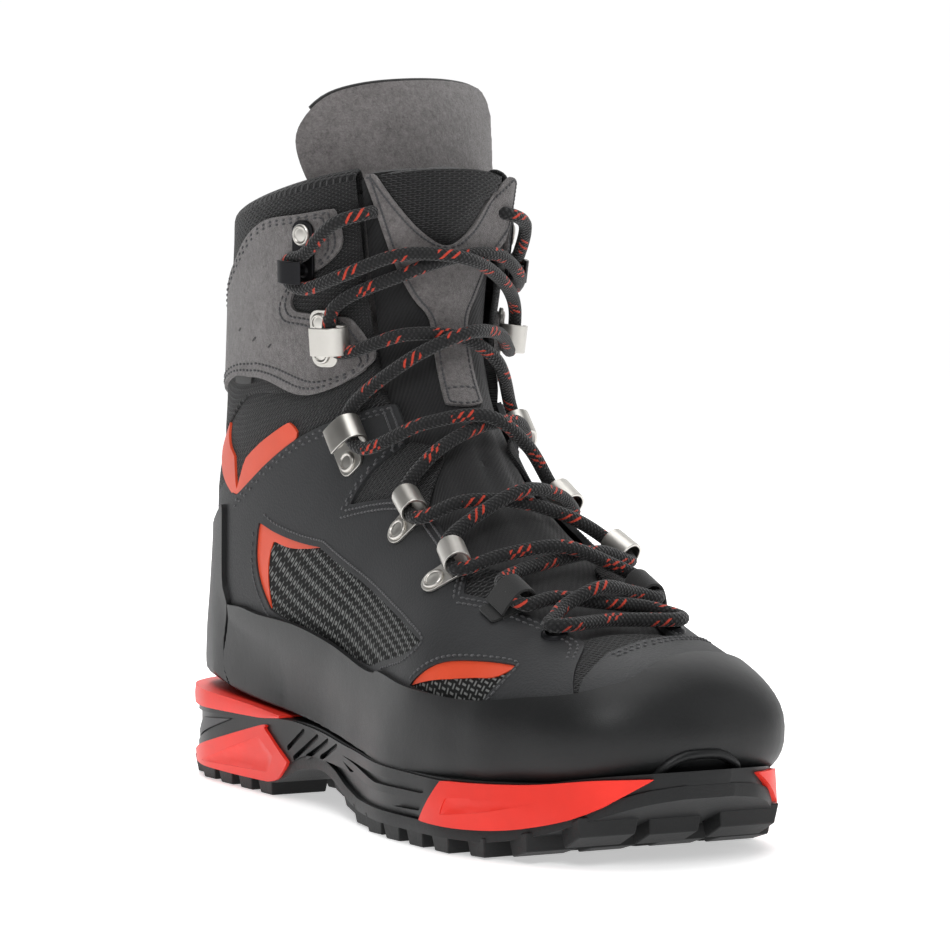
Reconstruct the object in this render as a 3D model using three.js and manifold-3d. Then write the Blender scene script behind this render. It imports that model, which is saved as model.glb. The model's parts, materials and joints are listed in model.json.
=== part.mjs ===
// A right mountaineering boot, in millimetres, +Z up, toe towards -Y, outer side towards -X.
// The origin is on the ground under the middle of the boot.
import * as THREE from 'three';
import { mergeVertices } from 'three/addons/utils/BufferGeometryUtils.js';
import Module from 'manifold-3d';

const wasm = await Module();
wasm.setup();

// ---- driving dimensions ----------------------------------------------------------------

const lastLength = 298; // toe tip to heel of the upper
const lastWidth = 100; // across the ball of the foot
const shaftHeight = 216; // ground to the front of the collar
const clearance = 0.3; // between pieces that touch
const softEase = 0.9; // round the soft linings inside, at the lengths above

const upperThickness = 2.4; // leather and fabric panels
const counterThickness = 1.7; // heel counter and toe puff
const liningThickness = 2.4; // padding and lining together
const randThickness = 2; // rubber rand round the foot
const overlayThickness = 1.2; // suede cuffs and flat overlays
const tongueThickness = 4.8;
const footbedThickness = 4.5;
const shankThickness = 1.7;

const treadDepth = 5; // height of the lugs
const outsoleThickness = 4; // rubber above the lugs
const insertDepth = 4; // coloured inserts set into the sole's sides
const weltHeight = 8.4; // crampon ledge round the heel
const weltOverhang = 1.5; // how far the ledge stands out past the sole

const laceDiameter = 4.6;
const plateThickness = 1.1;
const tubeWall = 0.9;
const tubeLength = 9;

const flapHeight = 246; // top of the tall inner tongue
const flapThickness = 4.2;

// ---- materials -------------------------------------------------------------------------

const finish = (color, roughness, metalness = 0) =>
  new THREE.MeshStandardMaterial({ color, roughness, metalness });
const rubber = finish(0x17181a, 0.55);
const frameBlack = finish(0x1b1b1d, 0.45);
const red = finish(0xd6402a, 0.45);
const leather = finish(0x2b2c2e, 0.7);
const suede = finish(0x6a6867, 0.95);
const mesh = finish(0x151618, 0.9);
const weave = finish(0x33342f, 0.85);
const liningGrey = finish(0x2a2b2d, 0.95);
const board = finish(0xb9a685, 0.9);
const steel = finish(0xb8b6ae, 0.35, 1);
const blackMetal = finish(0x1d1d1f, 0.35, 0.6);
const laceBlack = finish(0x191919, 0.85);

// ---- small helpers ---------------------------------------------------------------------

const rad = (degrees) => (degrees * Math.PI) / 180;
const mix = (a, b, t) => a + (b - a) * t;

// a smooth curve through rising x values that never overshoots its points
function through(...points) {
  const slopes = points.slice(1).map((p, i) => (p[1] - points[i][1]) / (p[0] - points[i][0]));
  const tangents = points.map((p, i) => {
    if (i === 0) return slopes[0];
    if (i === points.length - 1) return slopes[i - 1];
    const before = slopes[i - 1];
    const after = slopes[i];
    return before * after <= 0 ? 0 : (2 * before * after) / (before + after);
  });
  return (x) => {
    if (x <= points[0][0]) return points[0][1];
    if (x >= points.at(-1)[0]) return points.at(-1)[1];
    const i = points.findIndex((p) => p[0] > x) - 1;
    const h = points[i + 1][0] - points[i][0];
    const t = (x - points[i][0]) / h;
    const rise = points[i + 1][1] - points[i][1];
    return points[i][1] + t * t * (3 - 2 * t) * rise
      + h * t * (1 - t) * ((1 - t) * tangents[i] - t * tangents[i + 1]);
  };
}

// closed geometry from vertices and faces: merged, without empty faces, pointing outwards
function closedGeometry(points, faces) {
  const raw = new THREE.BufferGeometry();
  raw.setAttribute('position', new THREE.Float32BufferAttribute(points.flatMap((p) => [p.x, p.y, p.z]), 3));
  raw.setIndex(faces.flat());
  const merged = mergeVertices(raw, 1e-4);
  const index = merged.getIndex().array;
  const kept = [];
  for (let i = 0; i < index.length; i += 3) {
    const [a, b, c] = index.slice(i, i + 3);
    if (a !== b && b !== c && a !== c) kept.push(a, b, c);
  }
  merged.setIndex(kept);
  return volumeOf(merged) < 0 ? flipped(merged) : merged;
}

function volumeOf(geometry) {
  const position = geometry.getAttribute('position');
  const index = geometry.getIndex().array;
  const corner = (i) => new THREE.Vector3().fromBufferAttribute(position, i);
  let volume = 0;
  for (let i = 0; i < index.length; i += 3) {
    volume += corner(index[i]).dot(corner(index[i + 1]).cross(corner(index[i + 2]))) / 6;
  }
  return volume;
}

function flipped(geometry) {
  const index = Array.from(geometry.getIndex().array);
  for (let i = 0; i < index.length; i += 3) [index[i], index[i + 1]] = [index[i + 1], index[i]];
  geometry.setIndex(index);
  return geometry;
}

function toSolid(geometry) {
  const bare = geometry.clone();
  bare.deleteAttribute('normal');
  bare.deleteAttribute('uv');
  const merged = mergeVertices(bare, 1e-4);
  return new wasm.Manifold(new wasm.Mesh({
    numProp: 3,
    vertProperties: new Float32Array(merged.getAttribute('position').array),
    triVerts: new Uint32Array(merged.getIndex().array),
  }));
}

function toGeometry(solid) {
  const result = solid.getMesh();
  const geometry = new THREE.BufferGeometry();
  geometry.setAttribute('position', new THREE.Float32BufferAttribute(result.vertProperties, 3));
  geometry.setIndex(Array.from(result.triVerts));
  return geometry;
}

const cut = (geometry, ...cutters) =>
  toGeometry(cutters.reduce((solid, cutter) => solid.subtract(toSolid(cutter)), toSolid(geometry)));
const join = (geometry, ...others) =>
  toGeometry(others.reduce((solid, other) => solid.add(toSolid(other)), toSolid(geometry)));

// ---- the last --------------------------------------------------------------------------

// The upper is a fan of rings from the toe tip (s = 0) over the instep to the collar (s = 1).
// Each ring lies in a plane from its back or bottom point to its front or top point:
// [s, top y, top z, bottom y, bottom z, half width, centre share, top power, bottom power, shift x]
const stations = [
  [0.00, -149, 40, -149, 40, 0, 0.50, 2.0, 2.0, 7],
  [0.03, -144, 53, -145, 30, 25, 0.47, 2.0, 2.4, 7],
  [0.08, -134, 60, -135, 25, 37, 0.43, 2.1, 3.0, 7],
  [0.16, -117, 65, -117, 21, 45, 0.38, 2.3, 3.6, 5],
  [0.26, -95, 71, -94, 18, 50, 0.36, 2.3, 4.0, 3],
  [0.38, -68, 84, -61, 19, 50, 0.36, 2.3, 4.0, 0],
  [0.50, -44, 101, -17, 22, 43, 0.38, 2.2, 3.4, -1],
  [0.60, -22, 119, 46, 26, 37, 0.43, 2.1, 2.8, -1],
  [0.68, -7, 136, 112, 28, 37, 0.48, 2.1, 2.5, 0],
  [0.75, 2, 152, 148, 42, 37, 0.50, 2.1, 2.3, 0],
  [0.82, 6, 168, 149, 80, 37, 0.50, 2.1, 2.2, 0],
  [0.90, 8, 188, 132, 129, 40, 0.50, 2.1, 2.2, 0],
  [1.00, 6, 216, 121, 195, 43, 0.50, 2.1, 2.2, 0],
];
const scaleY = lastLength / 298;
const scaleX = lastWidth / 100;
const scaleZ = shaftHeight / 216;
const growth = Math.max(1, scaleX, scaleY, scaleZ);
const ease = softEase * growth ** 2; // longer facets stand further off the curves
const finer = (count) => Math.round(count * growth);
const column = (i, scale = 1) => through(...stations.map((row) => [row[0], row[i] * scale]));
const [frontY, frontZ, backY, backZ] = [column(1, scaleY), column(2, scaleZ), column(3, scaleY), column(4, scaleZ)];
const [halfWidth, centreShare, frontPower, backPower, shiftX] =
  [column(5, scaleX), column(6), column(7), column(8), column(9, scaleX)];

// a point on the last: angle 0 is the front or top, 90 the outer side, 180 the back or bottom
function onLast(s, angle) {
  const cos = Math.cos(rad(angle));
  const sin = Math.sin(rad(angle));
  const power = cos >= 0 ? frontPower(s) : backPower(s);
  const centre = centreShare(s);
  const reach = Math.abs(cos) ** (2 / power);
  const share = cos >= 0 ? centre + (1 - centre) * reach : centre - centre * reach;
  const side = Math.sign(sin) * Math.abs(sin) ** (2 / power);
  return new THREE.Vector3(
    shiftX(s) - side * halfWidth(s),
    mix(backY(s), frontY(s), share),
    mix(backZ(s), frontZ(s), share),
  );
}

// the directions at a point of the last: along s, round the ring, and outwards
function directions(s, angle) {
  const at = Math.min(Math.max(s, 0.006), 0.994);
  const along = onLast(at + 0.006, angle).sub(onLast(at - 0.006, angle)).normalize();
  const round = onLast(at, angle + 2).sub(onLast(at, angle - 2)).normalize();
  const out = s === 0 ? new THREE.Vector3(0, -1, 0) : along.clone().cross(round).normalize();
  return { along, round, out };
}

// a point at a height above the last
function above(s, angle, height) {
  return onLast(s, angle).addScaledVector(directions(s, angle).out, height);
}

// how far the faster of a ring's two ends has come by each hundredth of s, for even steps
const travel = [0];
for (let i = 1; i <= 100; i++) {
  const front = onLast(i / 100, 0).distanceTo(onLast((i - 1) / 100, 0));
  const back = onLast(i / 100, 180).distanceTo(onLast((i - 1) / 100, 180));
  travel.push(travel[i - 1] + Math.max(front, back));
}
const travelOf = through(...travel.map((way, i) => [i / 100, way]));
const placeOf = through(...travel.map((way, i) => [way, i / 100]));
const between = (s0, s1, u) => placeOf(mix(travelOf(s0), travelOf(s1), u));

// A panel of the upper: its shape turns (u, v) into [s, angle], and it lies between two heights.
const layer = (shape, low, high, nu, nv, ringed = false) => ({ shape, low, high, nu, nv, ringed });
const panel = (...measures) => layerGeometry(layer(...measures));
function layerGeometry({ shape, low, high, nu, nv, ringed }, spread = 0) {
  const points = [];
  for (const height of [high, low]) {
    const rows = Array.from({ length: nu + 1 }, (_, i) =>
      Array.from({ length: nv + 1 }, (__, j) => above(...shape(i / nu, j / nv), height)));
    if (spread > 0) spreadRows(rows, spread, ringed);
    points.push(...rows.flat());
  }
  return closedGeometry(points, gridFaces(nu, nv, ringed));
}

// moves the border of a grid of points outwards along the surface, leaving a pole where it is
function spreadRows(rows, by, ringed) {
  const push = (point, inner) => {
    const way = point.clone().sub(inner);
    if (way.length() > 0.01) point.addScaledVector(way.normalize(), by);
  };
  if (!ringed) {
    for (const row of rows) {
      push(row[0], row[1]);
      push(row.at(-1), row.at(-2));
    }
  }
  const isPole = (row) => row[0].distanceTo(row[1]) < 0.01;
  rows[0].forEach((point, j) => isPole(rows[0]) || push(point, rows[1][j]));
  rows.at(-1).forEach((point, j) => push(point, rows.at(-2)[j]));
}

// the faces of a slab made of two grids of points, one over the other
function gridFaces(nu, nv, ringed = false) {
  const count = (nu + 1) * (nv + 1);
  const at = (i, j, k) => k * count + i * (nv + 1) + j;
  const faces = [];
  const quad = (a, b, c, d) => faces.push([a, b, c], [a, c, d]);
  for (let i = 0; i < nu; i++) {
    for (let j = 0; j < nv; j++) {
      quad(at(i, j, 0), at(i + 1, j, 0), at(i + 1, j + 1, 0), at(i, j + 1, 0));
      quad(at(i, j + 1, 1), at(i + 1, j + 1, 1), at(i + 1, j, 1), at(i, j, 1));
    }
    if (ringed) continue;
    quad(at(i + 1, 0, 0), at(i, 0, 0), at(i, 0, 1), at(i + 1, 0, 1));
    quad(at(i, nv, 0), at(i + 1, nv, 0), at(i + 1, nv, 1), at(i, nv, 1));
  }
  for (let j = 0; j < nv; j++) {
    quad(at(0, j, 0), at(0, j + 1, 0), at(0, j + 1, 1), at(0, j, 1));
    quad(at(nu, j + 1, 0), at(nu, j, 0), at(nu, j, 1), at(nu, j + 1, 1));
  }
  return faces;
}

// a layer cut back from its neighbours by the clearance
const keepOut = (other) =>
  layerGeometry({ ...other, low: other.low - clearance, high: other.high + clearance }, clearance);
const trimmed = (piece, ...others) => cut(layerGeometry(piece), ...others.map(keepOut));

// the last up to the ankle, swollen by a height, to shape what holds it
const heldTop = 0.86;
function lastSolid(height) {
  const rings = 30;
  const sides = 32;
  const points = [];
  const faces = [];
  for (let i = 0; i <= rings; i++) {
    const s = between(0, heldTop, i / rings);
    for (let j = 0; j < sides; j++) points.push(above(s, (360 * j) / sides, height));
  }
  const at = (i, j) => i * sides + (j % sides);
  for (let i = 0; i < rings; i++) {
    for (let j = 0; j < sides; j++) {
      faces.push([at(i, j), at(i + 1, j), at(i + 1, j + 1)], [at(i, j), at(i + 1, j + 1), at(i, j + 1)]);
    }
  }
  const lid = points.push(onLast(heldTop, 0).lerp(onLast(heldTop, 180), 0.5)) - 1;
  for (let j = 0; j < sides; j++) faces.push([at(rings, j), lid, at(rings, j + 1)]);
  return closedGeometry(points, faces);
}

// ---- where the panels of the upper end ---------------------------------------------------

const vampEnd = 0.2;
const seamGap = 0.5; // degrees between neighbours in one layer
const throat = through([0.2, 15], [0.3, 20], [0.38, 24], [0.46, 31], [0.56, 34], [0.72, 31]);
const quarterTop = through([30, 0.72], [53, 0.753], [71, 0.778], [104, 0.8], [180, 0.815]);
const lastingEdge = through([0, 150], [0.64, 150], [0.7, 163], [0.74, 180], [1, 180]);
const randTop = through([0.1, 57], [0.25, 73], [0.42, 85], [0.62, 97]);
const heelRandTop = through([0.64, 100], [0.72, 112], [0.81, 112]);
const toeRandEdge = through([0, 0.064], [33, 0.068], [57, 0.1], [180, 0.1]);
const shaftBase = through([30, 0.785], [60, 0.808], [75, 0.83], [99, 0.866], [180, 0.872]);
const shaftFront = through([0.76, 35], [0.9, 37], [1, 42]);
const tongueEdge = through([0.18, 30], [0.4, 36], [0.8, 36], [0.89, 26], [1, 26]);

// the same panel on the outer side (1) or the inner side (-1)
const sided = (side, shape) => (u, v) => {
  const [s, angle] = shape(u, v);
  return [s, side * angle];
};
const sides = { lateral: 1, medial: -1 };

// ---- the upper of the foot -----------------------------------------------------------------

const boot = new THREE.Group();
const add = (name, geometry, material) => {
  const piece = new THREE.Mesh(geometry, material);
  piece.name = name;
  boot.add(piece);
};

const counterHigh = -upperThickness - 1.35 * ease;
const counterLow = counterHigh - counterThickness;
const liningHigh = counterLow - ease;
const liningLow = liningHigh - liningThickness;
const randHigh = ease + randThickness;

const quarterShape = (u, v) => {
  const edge = throat(between(vampEnd, 0.72, u));
  const last = lastingEdge(between(vampEnd, 0.8, u)) - seamGap;
  const angle = mix(edge, last, v);
  return [between(vampEnd + 0.003, quarterTop(angle), u), angle];
};
const windowShape = (u, v) => [mix(0.43, mix(0.665, 0.72, v), u), mix(mix(64, 77, u), mix(83, 97, u), v)];
const frontWindowShape = (u, v) => [mix(0.235, 0.395, u), mix(mix(50, 77, u ** 0.6), mix(68, 80, u), v)];
const randShape = (u, v) => {
  const s = between(0.103, 0.638, u);
  return [s, mix(randTop(s), 152, v)];
};
const toeRandShape = (u, v) => {
  const angle = mix(-180, 180, v);
  return [u * toeRandEdge(Math.abs(angle)), angle];
};
const heelRandShape = (u, v) => {
  const s = between(0.642, 0.81, u);
  return [s, mix(heelRandTop(s), 360 - heelRandTop(s), v)];
};
// a band round the back of the boot, from one side of the tongue to the other
const wrapped = (edge, low, high) => (u, v) => {
  const angle = mix(edge(u), 360 - edge(u), v);
  const fold = 180 - Math.abs(180 - angle);
  return [between(low(fold), high(fold), u), angle];
};

const sink = 0.6; // how deep a layer is drawn into its neighbour before it is cut back
const quarters = Object.values(sides).map((side) =>
  layer(sided(side, quarterShape), -upperThickness, 0, finer(24), finer(finer(9))));
const vamp = layer((u, v) => [between(0.03, vampEnd, u), mix(-151, 151, v)], -upperThickness, 0, 6, 18);
const insoleBoard = layer((u, v) => [between(0.09, 0.67, u), mix(154, 206, v)], counterLow, 0, 12, 2);
const toePuff = layer((u, v) => [between(0.035, 0.15, u), mix(-110, 110, v)], counterLow, counterHigh, 3, 12);
const heelCounter = layer((u, v) => [between(0.69, 0.785, u), mix(113, 247, v)],
  counterLow, counterHigh, 12, 12);
const toeLining = layer((u, v) => [between(0.05, 0.172, u), mix(-180, 180, v)],
  liningLow, liningHigh, 3, 14, true);
const footLining = layer(
  wrapped((u) => tongueEdge(between(0.176, 0.72, u)) + 5, () => 0.176, (fold) => quarterTop(fold) - 0.006),
  liningLow, liningHigh, 16, 12);
const footbed = layer((u, v) => [between(0.12, 0.72, u), mix(146, 214, v)],
  liningLow - 2 * ease - footbedThickness, liningLow - 2 * ease, 12, 3);
const shank = layer((u, v) => [between(0.42, 0.64, u), mix(171, 189, v)], ease,
  ease + shankThickness, 6, 1);
const rands = Object.values(sides).map((side) => layer(sided(side, randShape), ease, randHigh, 18, 6));
const toeRand = layer(toeRandShape, ease, randHigh, 3, 18, true);
const heelRand = layer(heelRandShape, ease, randHigh + 0.6, finer(12), finer(finer(12)));

Object.keys(sides).forEach((name, i) => {
  const side = sides[name];
  add(`quarter_${name}`, layerGeometry(quarters[i]), leather);
  add(`side_window_${name}`, panel(sided(side, windowShape), softEase, softEase + 0.8, 7, 3), weave);
  add(`forefoot_window_${name}`, panel(sided(side, frontWindowShape), softEase, softEase + 0.8, 5, 2), weave);
  add(`rand_${name}`, layerGeometry(rands[i]), rubber);
});
add('vamp', layerGeometry(vamp), leather);
add('toe_rand', layerGeometry(toeRand), rubber);
add('heel_rand', layerGeometry(heelRand), rubber);
add('toe_puff', layerGeometry(toePuff), board);
add('heel_counter', layerGeometry(heelCounter), board);
add('insole_board', layerGeometry(insoleBoard), board);
add('toe_lining', layerGeometry(toeLining), liningGrey);
add('foot_lining', layerGeometry(footLining), liningGrey);
add('footbed', layerGeometry(footbed), red);
add('shank', layerGeometry(shank), steel);

// ---- the shaft -----------------------------------------------------------------------------

const cuffHigh = ease + overlayThickness;
const shaftThickness = 2;
const collarPadding = 5.2;
const shaftShell = layer(wrapped((u) => shaftFront(between(0.76, 1, u)), shaftBase, () => 1),
  -shaftThickness, 0, 7, 16);
const shaftLining = layer((u, v) => [between(0.885, 0.995, u), mix(mix(42, 44, u), mix(318, 316, u), v)],
  -shaftThickness - ease - collarPadding, -shaftThickness - ease, 3, 14);
const cuffTop = through([36, 0.955], [47, 0.968], [90, 0.98], [152, 0.97]);
const cuffShape = (u, v) => {
  const angle = mix(mix(36.5, 46, u), 152, v);
  return [between(shaftBase(angle) + 0.006, cuffTop(angle), u), angle];
};
const cuffs = Object.values(sides).map((side) => layer(sided(side, cuffShape), ease, cuffHigh, 6, 9));
add('shaft_shell', layerGeometry(shaftShell), mesh);
add('shaft_lining', layerGeometry(shaftLining), liningGrey);
Object.keys(sides).forEach((name, i) => add(`cuff_${name}`, layerGeometry(cuffs[i]), suede));

// ---- what bends between the foot and the shaft ------------------------------------------------

const ankleBand = layer(wrapped(() => 37, (fold) => quarterTop(fold) + 0.005, (fold) => shaftBase(fold) - 0.004),
  -5.2, -0.3, 3, 16);
const accentDip = through([72, 0.783], [104, 0.806], [119, 0.846]);
const accentShape = (u, v) => {
  const angle = mix(72, 119, u);
  return [accentDip(angle) + mix(0.002, 0.018, v), angle];
};
add('ankle_band', layerGeometry(ankleBand), mesh);
for (const [name, side] of Object.entries(sides)) {
  add(`ankle_accent_${name}`, panel(sided(side, accentShape), clearance, clearance + 0.8, 8, 1), red);
}
const tongueHigh = -upperThickness - ease;
const tongue = layer((u, v) => {
  const s = between(0.21, 0.998, u);
  return [s, mix(-1, 1, v) * tongueEdge(s)];
}, tongueHigh - tongueThickness, tongueHigh, 16, 4);
add('tongue', layerGeometry(tongue), mesh);

const overlayEdge = through([0.45, 10], [0.8, 13], [0.88, 17], [0.985, 24]);
const notchEdge = through([0.885, 2], [0.93, 8], [0.99, 14]);
const notchShape = (grow) => (u, v) => {
  const s = mix(0.885 - grow / 300, 0.99 + grow / 30, u);
  return [s, mix(-1, 1, v) * (notchEdge(s) + grow)];
};
const overlayHigh = tongueHigh + clearance + overlayThickness;
const tongueOverlay = layer((u, v) => {
  const s = between(0.45, 0.985, u);
  return [s, mix(-1, 1, v) * overlayEdge(s)];
}, tongueHigh - 0.2, overlayHigh, 12, 2);
const notch = layer(notchShape(0.6), tongueHigh - 1, overlayHigh + 1, 5, 2);
add('tongue_overlay', trimmed(tongueOverlay, tongue, notch), suede);
add('tongue_pad', trimmed(layer(notchShape(0), tongueHigh - 0.2, overlayHigh + 0.8, 4, 2), tongue), mesh);

// ---- the tall inner tongue ------------------------------------------------------------------

const flapY = through([138, 22], [170, 27], [200, 35], [228, 44], [250, 50]);
const flapSide = through([138, 19.1], [170, 22.1], [200, 26.1], [214, 31.1], [228, 35.1], [238, 36.1], [246, 31.1]);
const sideRoom = 1.5 * (ease - softEase); // keeps off the padding where its facets are long
function flapGeometry(z0, z1, thickness, grow, nu, nv) {
  const points = [];
  const middle = (z, v) => {
    const x = (v * 2 - 1) * (flapSide(z / scaleZ) * scaleX - flapThickness / 2 - sideRoom + grow);
    return new THREE.Vector3(x, flapY(z / scaleZ) * scaleY + (x * x) / 110, z - (x * x) / 260);
  };
  for (const side of [-0.5, 0.5]) {
    for (let i = 0; i <= nu; i++) {
      for (let j = 0; j <= nv; j++) {
        const z = mix(z0, z1, i / nu);
        const lean = middle(z + 1, j / nv).sub(middle(z - 1, j / nv)).normalize();
        const across = middle(z, j / nv + 0.01).sub(middle(z, j / nv - 0.01)).normalize();
        points.push(middle(z, j / nv).addScaledVector(across.cross(lean), side * thickness));
      }
    }
  }
  return closedGeometry(points, gridFaces(nu, nv));
}

const bindingHeight = 3;
add('inner_tongue', flapGeometry(142 * scaleZ, flapHeight - bindingHeight, flapThickness, 0, 12, 8), suede);
add('inner_tongue_binding',
  flapGeometry(flapHeight - bindingHeight + clearance, flapHeight, flapThickness + 0.8, 0, 1, 8), mesh);

// ---- the sole ------------------------------------------------------------------------------

const plan = (points) => through(...points.map(([y, x]) => [y * scaleY, x * scaleX]));
const outerPlan = plan([[-154, 6], [-151, 17], [-143, 27], [-128, 37], [-105, 47], [-78, 53], [-50, 53],
  [-8, 45], [32, 39], [75, 38], [115, 37], [138, 31], [150, 20], [156, 7]]);
const innerPlan = plan([[-154, 20], [-151, 30], [-143, 38], [-125, 48], [-98, 54], [-70, 52], [-40, 45],
  [-8, 38], [32, 35], [75, 38], [115, 37], [138, 31], [150, 20], [156, 7]]);
const soleFront = -154 * scaleY;
const soleBack = 156 * scaleY;
const footHeight = (points) => through(...points.map(([y, z]) => [y * scaleY, z * scaleZ]));
const tread = footHeight([[-154, 19], [-140, 13], [-122, 8], [-100, 5], [-10, 5], [5, 8], [20, 11.5],
  [45, 11.5], [58, 7], [66, 5], [156, 5]]);
const frameRoof = footHeight([[-154, 33], [-140, 31], [-120, 24], [-100, 21], [-20, 21], [30, 23], [62, 26.4],
  [156, 26.4]]);
const frameFloor = (y) => tread(y) + outsoleThickness + clearance;

// a slab that follows the plan of the sole, with sloping sides
function soleSlab(y0, y1, floor, roof, floorInset, roofInset, steps) {
  const points = [];
  for (let i = 0; i <= steps; i++) {
    const y = mix(y0, y1, (1 - Math.cos((Math.PI * i) / steps)) / 2);
    const inset = (x, by) => Math.max(x - by, 3);
    points.push(new THREE.Vector3(-inset(outerPlan(y), floorInset), y, floor(y)));
    points.push(new THREE.Vector3(inset(innerPlan(y), floorInset), y, floor(y)));
    points.push(new THREE.Vector3(inset(innerPlan(y), roofInset), y, roof(y)));
    points.push(new THREE.Vector3(-inset(outerPlan(y), roofInset), y, roof(y)));
  }
  return closedGeometry(points, tubeFaces(steps, 4));
}

// the faces of a row of outlines with the same number of corners, closed at both ends
function tubeFaces(steps, corners) {
  const faces = [];
  for (let i = 0; i < steps; i++) {
    for (let j = 0; j < corners; j++) {
      const k = (j + 1) % corners;
      const [a, b] = [i * corners + j, i * corners + k];
      faces.push([a, b, b + corners], [a, b + corners, a + corners]);
    }
  }
  for (let j = 1; j < corners - 1; j++) {
    faces.push([0, j + 1, j]);
    faces.push([steps * corners, steps * corners + j, steps * corners + j + 1]);
  }
  return faces;
}

// a block along one edge of the sole between two heights
function edgeBlock(side, y0, y1, low, high, depth, proud, steps) {
  const edge = side > 0 ? outerPlan : innerPlan;
  const points = [];
  for (let i = 0; i <= steps; i++) {
    const y = mix(y0, y1, i / steps);
    for (const [x, z] of [[edge(y) - depth, low(y)], [edge(y) + proud, low(y)],
      [edge(y) + proud, high(y)], [edge(y) - depth, high(y)]]) {
      points.push(new THREE.Vector3(-side * x, y, z));
    }
  }
  return closedGeometry(points, tubeFaces(steps, 4));
}

const lugPitch = 16.5;
const lugLength = 11.5;
const lugRoot = 1.5; // how far a lug reaches up into the outsole
const forefootRows = 8;
const heelRows = 5;

// a lug under the tread, following the rise of the toe
function lug(x, y, width, length) {
  const points = [];
  for (const [end, reach] of [[-1, 0.5], [1, 0.5]]) {
    const at = y + end * length * reach;
    const top = tread(at) + lugRoot;
    const foot = tread(at) - treadDepth;
    const slim = width / 2 - 1;
    points.push(new THREE.Vector3(x - slim, at - end, foot), new THREE.Vector3(x + slim, at - end, foot),
      new THREE.Vector3(x + width / 2, at, top), new THREE.Vector3(x - width / 2, at, top));
  }
  return closedGeometry(points, tubeFaces(1, 4));
}

const lugs = [];
function lugRow(y, across, share) {
  const left = -outerPlan(y) + 4;
  const right = innerPlan(y) - 4;
  const pitch = (right - left) / across;
  for (let i = 0; i < across; i++) {
    lugs.push(lug(left + pitch * (i + 0.5), y, pitch * share, lugLength));
  }
}
for (let i = 0; i < forefootRows; i++) lugRow(-133 * scaleY + i * lugPitch * scaleY, i === 0 ? 3 : 4, 0.76);
for (let i = 0; i < heelRows; i++) lugRow(73 * scaleY + i * lugPitch * scaleY, 3, 0.72);
const outsoleInset = [1.5, 0.5]; // under and at the top of the outsole's edge
const outsoleSlab = soleSlab(soleFront, soleBack, tread, (y) => frameFloor(y) - clearance, ...outsoleInset, 30);
add('outsole', join(outsoleSlab, ...lugs), rubber);

const frontInsert = (side, gap) => edgeBlock(side, (-122 - gap) * scaleY, (4 + gap) * scaleY,
  (y) => Math.max(frameFloor(y) + 1, mix(9.6, 17.5, (4 * scaleY - y) / (126 * scaleY)) + 1) - gap,
  (y) => frameRoof(y) - 1.6 + gap, insertDepth + gap, gap ? 8 : 0.6, 8);
const heelInsertTop = footHeight([[93, 13], [118, 24], [150, 16]]);
const heelInsert = (side, gap) => edgeBlock(side, (93 - gap) * scaleY, (146 + gap) * scaleY,
  (y) => frameFloor(y) + 1 - gap, (y) => heelInsertTop(y) + gap, insertDepth + gap, gap ? 8 : 0.6, 8);
const cutters = Object.values(sides)
  .flatMap((side) => [frontInsert(side, clearance), heelInsert(side, clearance)]);
const held = [lastSolid(softEase + randThickness + 0.6 + 1.5 * softEase * growth)];
add('sole_frame',
  cut(soleSlab(soleFront, soleBack, frameFloor, frameRoof, 0.5, 0, 30), ...held, ...cutters), frameBlack);
for (const [name, side] of Object.entries(sides)) {
  add(`forefoot_insert_${name}`, cut(frontInsert(side, 0), ...held), red);
  add(`heel_insert_${name}`, cut(heelInsert(side, 0), ...held), red);
}
const weltFloor = () => frameRoof(soleBack) + clearance;
const weltSlab = soleSlab(64 * scaleY, soleBack + weltOverhang, weltFloor, () => weltFloor() + weltHeight,
  -weltOverhang, -weltOverhang, 16);
add('heel_welt', cut(weltSlab, lastSolid(randHigh + 0.6 + 1.5 * ease)), red);

// ---- lacing hardware -------------------------------------------------------------------------

// each pair of lace holders: place along the boot, angle of its plate's middle, height below it
const holders = [
  { kind: 'eyelet', s: 0.252, angle: 22.5, base: 0 },
  { kind: 'loop', s: 0.342, angle: 29, base: 0 },
  { kind: 'pulley', s: 0.46, angle: 42, base: 0 },
  { kind: 'pulley', s: 0.578, angle: 47, base: 0 },
  { kind: 'saddle', s: 0.713, angle: 52, base: 0 },
  { kind: 'saddle', s: 0.848, angle: 54, base: cuffHigh },
  { kind: 'hook', s: 0.938, angle: 63, base: cuffHigh },
];
const innerRadius = laceDiameter / 2 + 0.7;

// a frame at a holder: x away from the tongue, y up the boot, z outwards
function placed(s, angle, side, height) {
  const { along, out } = directions(s, side * angle);
  const away = out.clone().cross(along).multiplyScalar(side);
  const matrix = new THREE.Matrix4().makeBasis(away, along, out);
  return matrix.setPosition(above(s, side * angle, height));
}

// geometry drawn in such a frame, moved to its place
function fitted(geometry, matrix) {
  const moved = mergeVertices(bare(geometry), 1e-4).applyMatrix4(matrix);
  return volumeOf(moved) < 0 ? flipped(moved) : moved;
}

function bare(geometry) {
  const copy = geometry.clone();
  copy.deleteAttribute('normal');
  copy.deleteAttribute('uv');
  return copy;
}

// a ring of rectangular section round the y axis
function sleeve(inner, outer, length, segments = 8) {
  const half = length / 2;
  const outline = [[inner, -half], [outer, -half], [outer, half], [inner, half], [inner, -half]];
  return new THREE.LatheGeometry(outline.map(([x, y]) => new THREE.Vector2(x, y)), segments);
}

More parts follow.
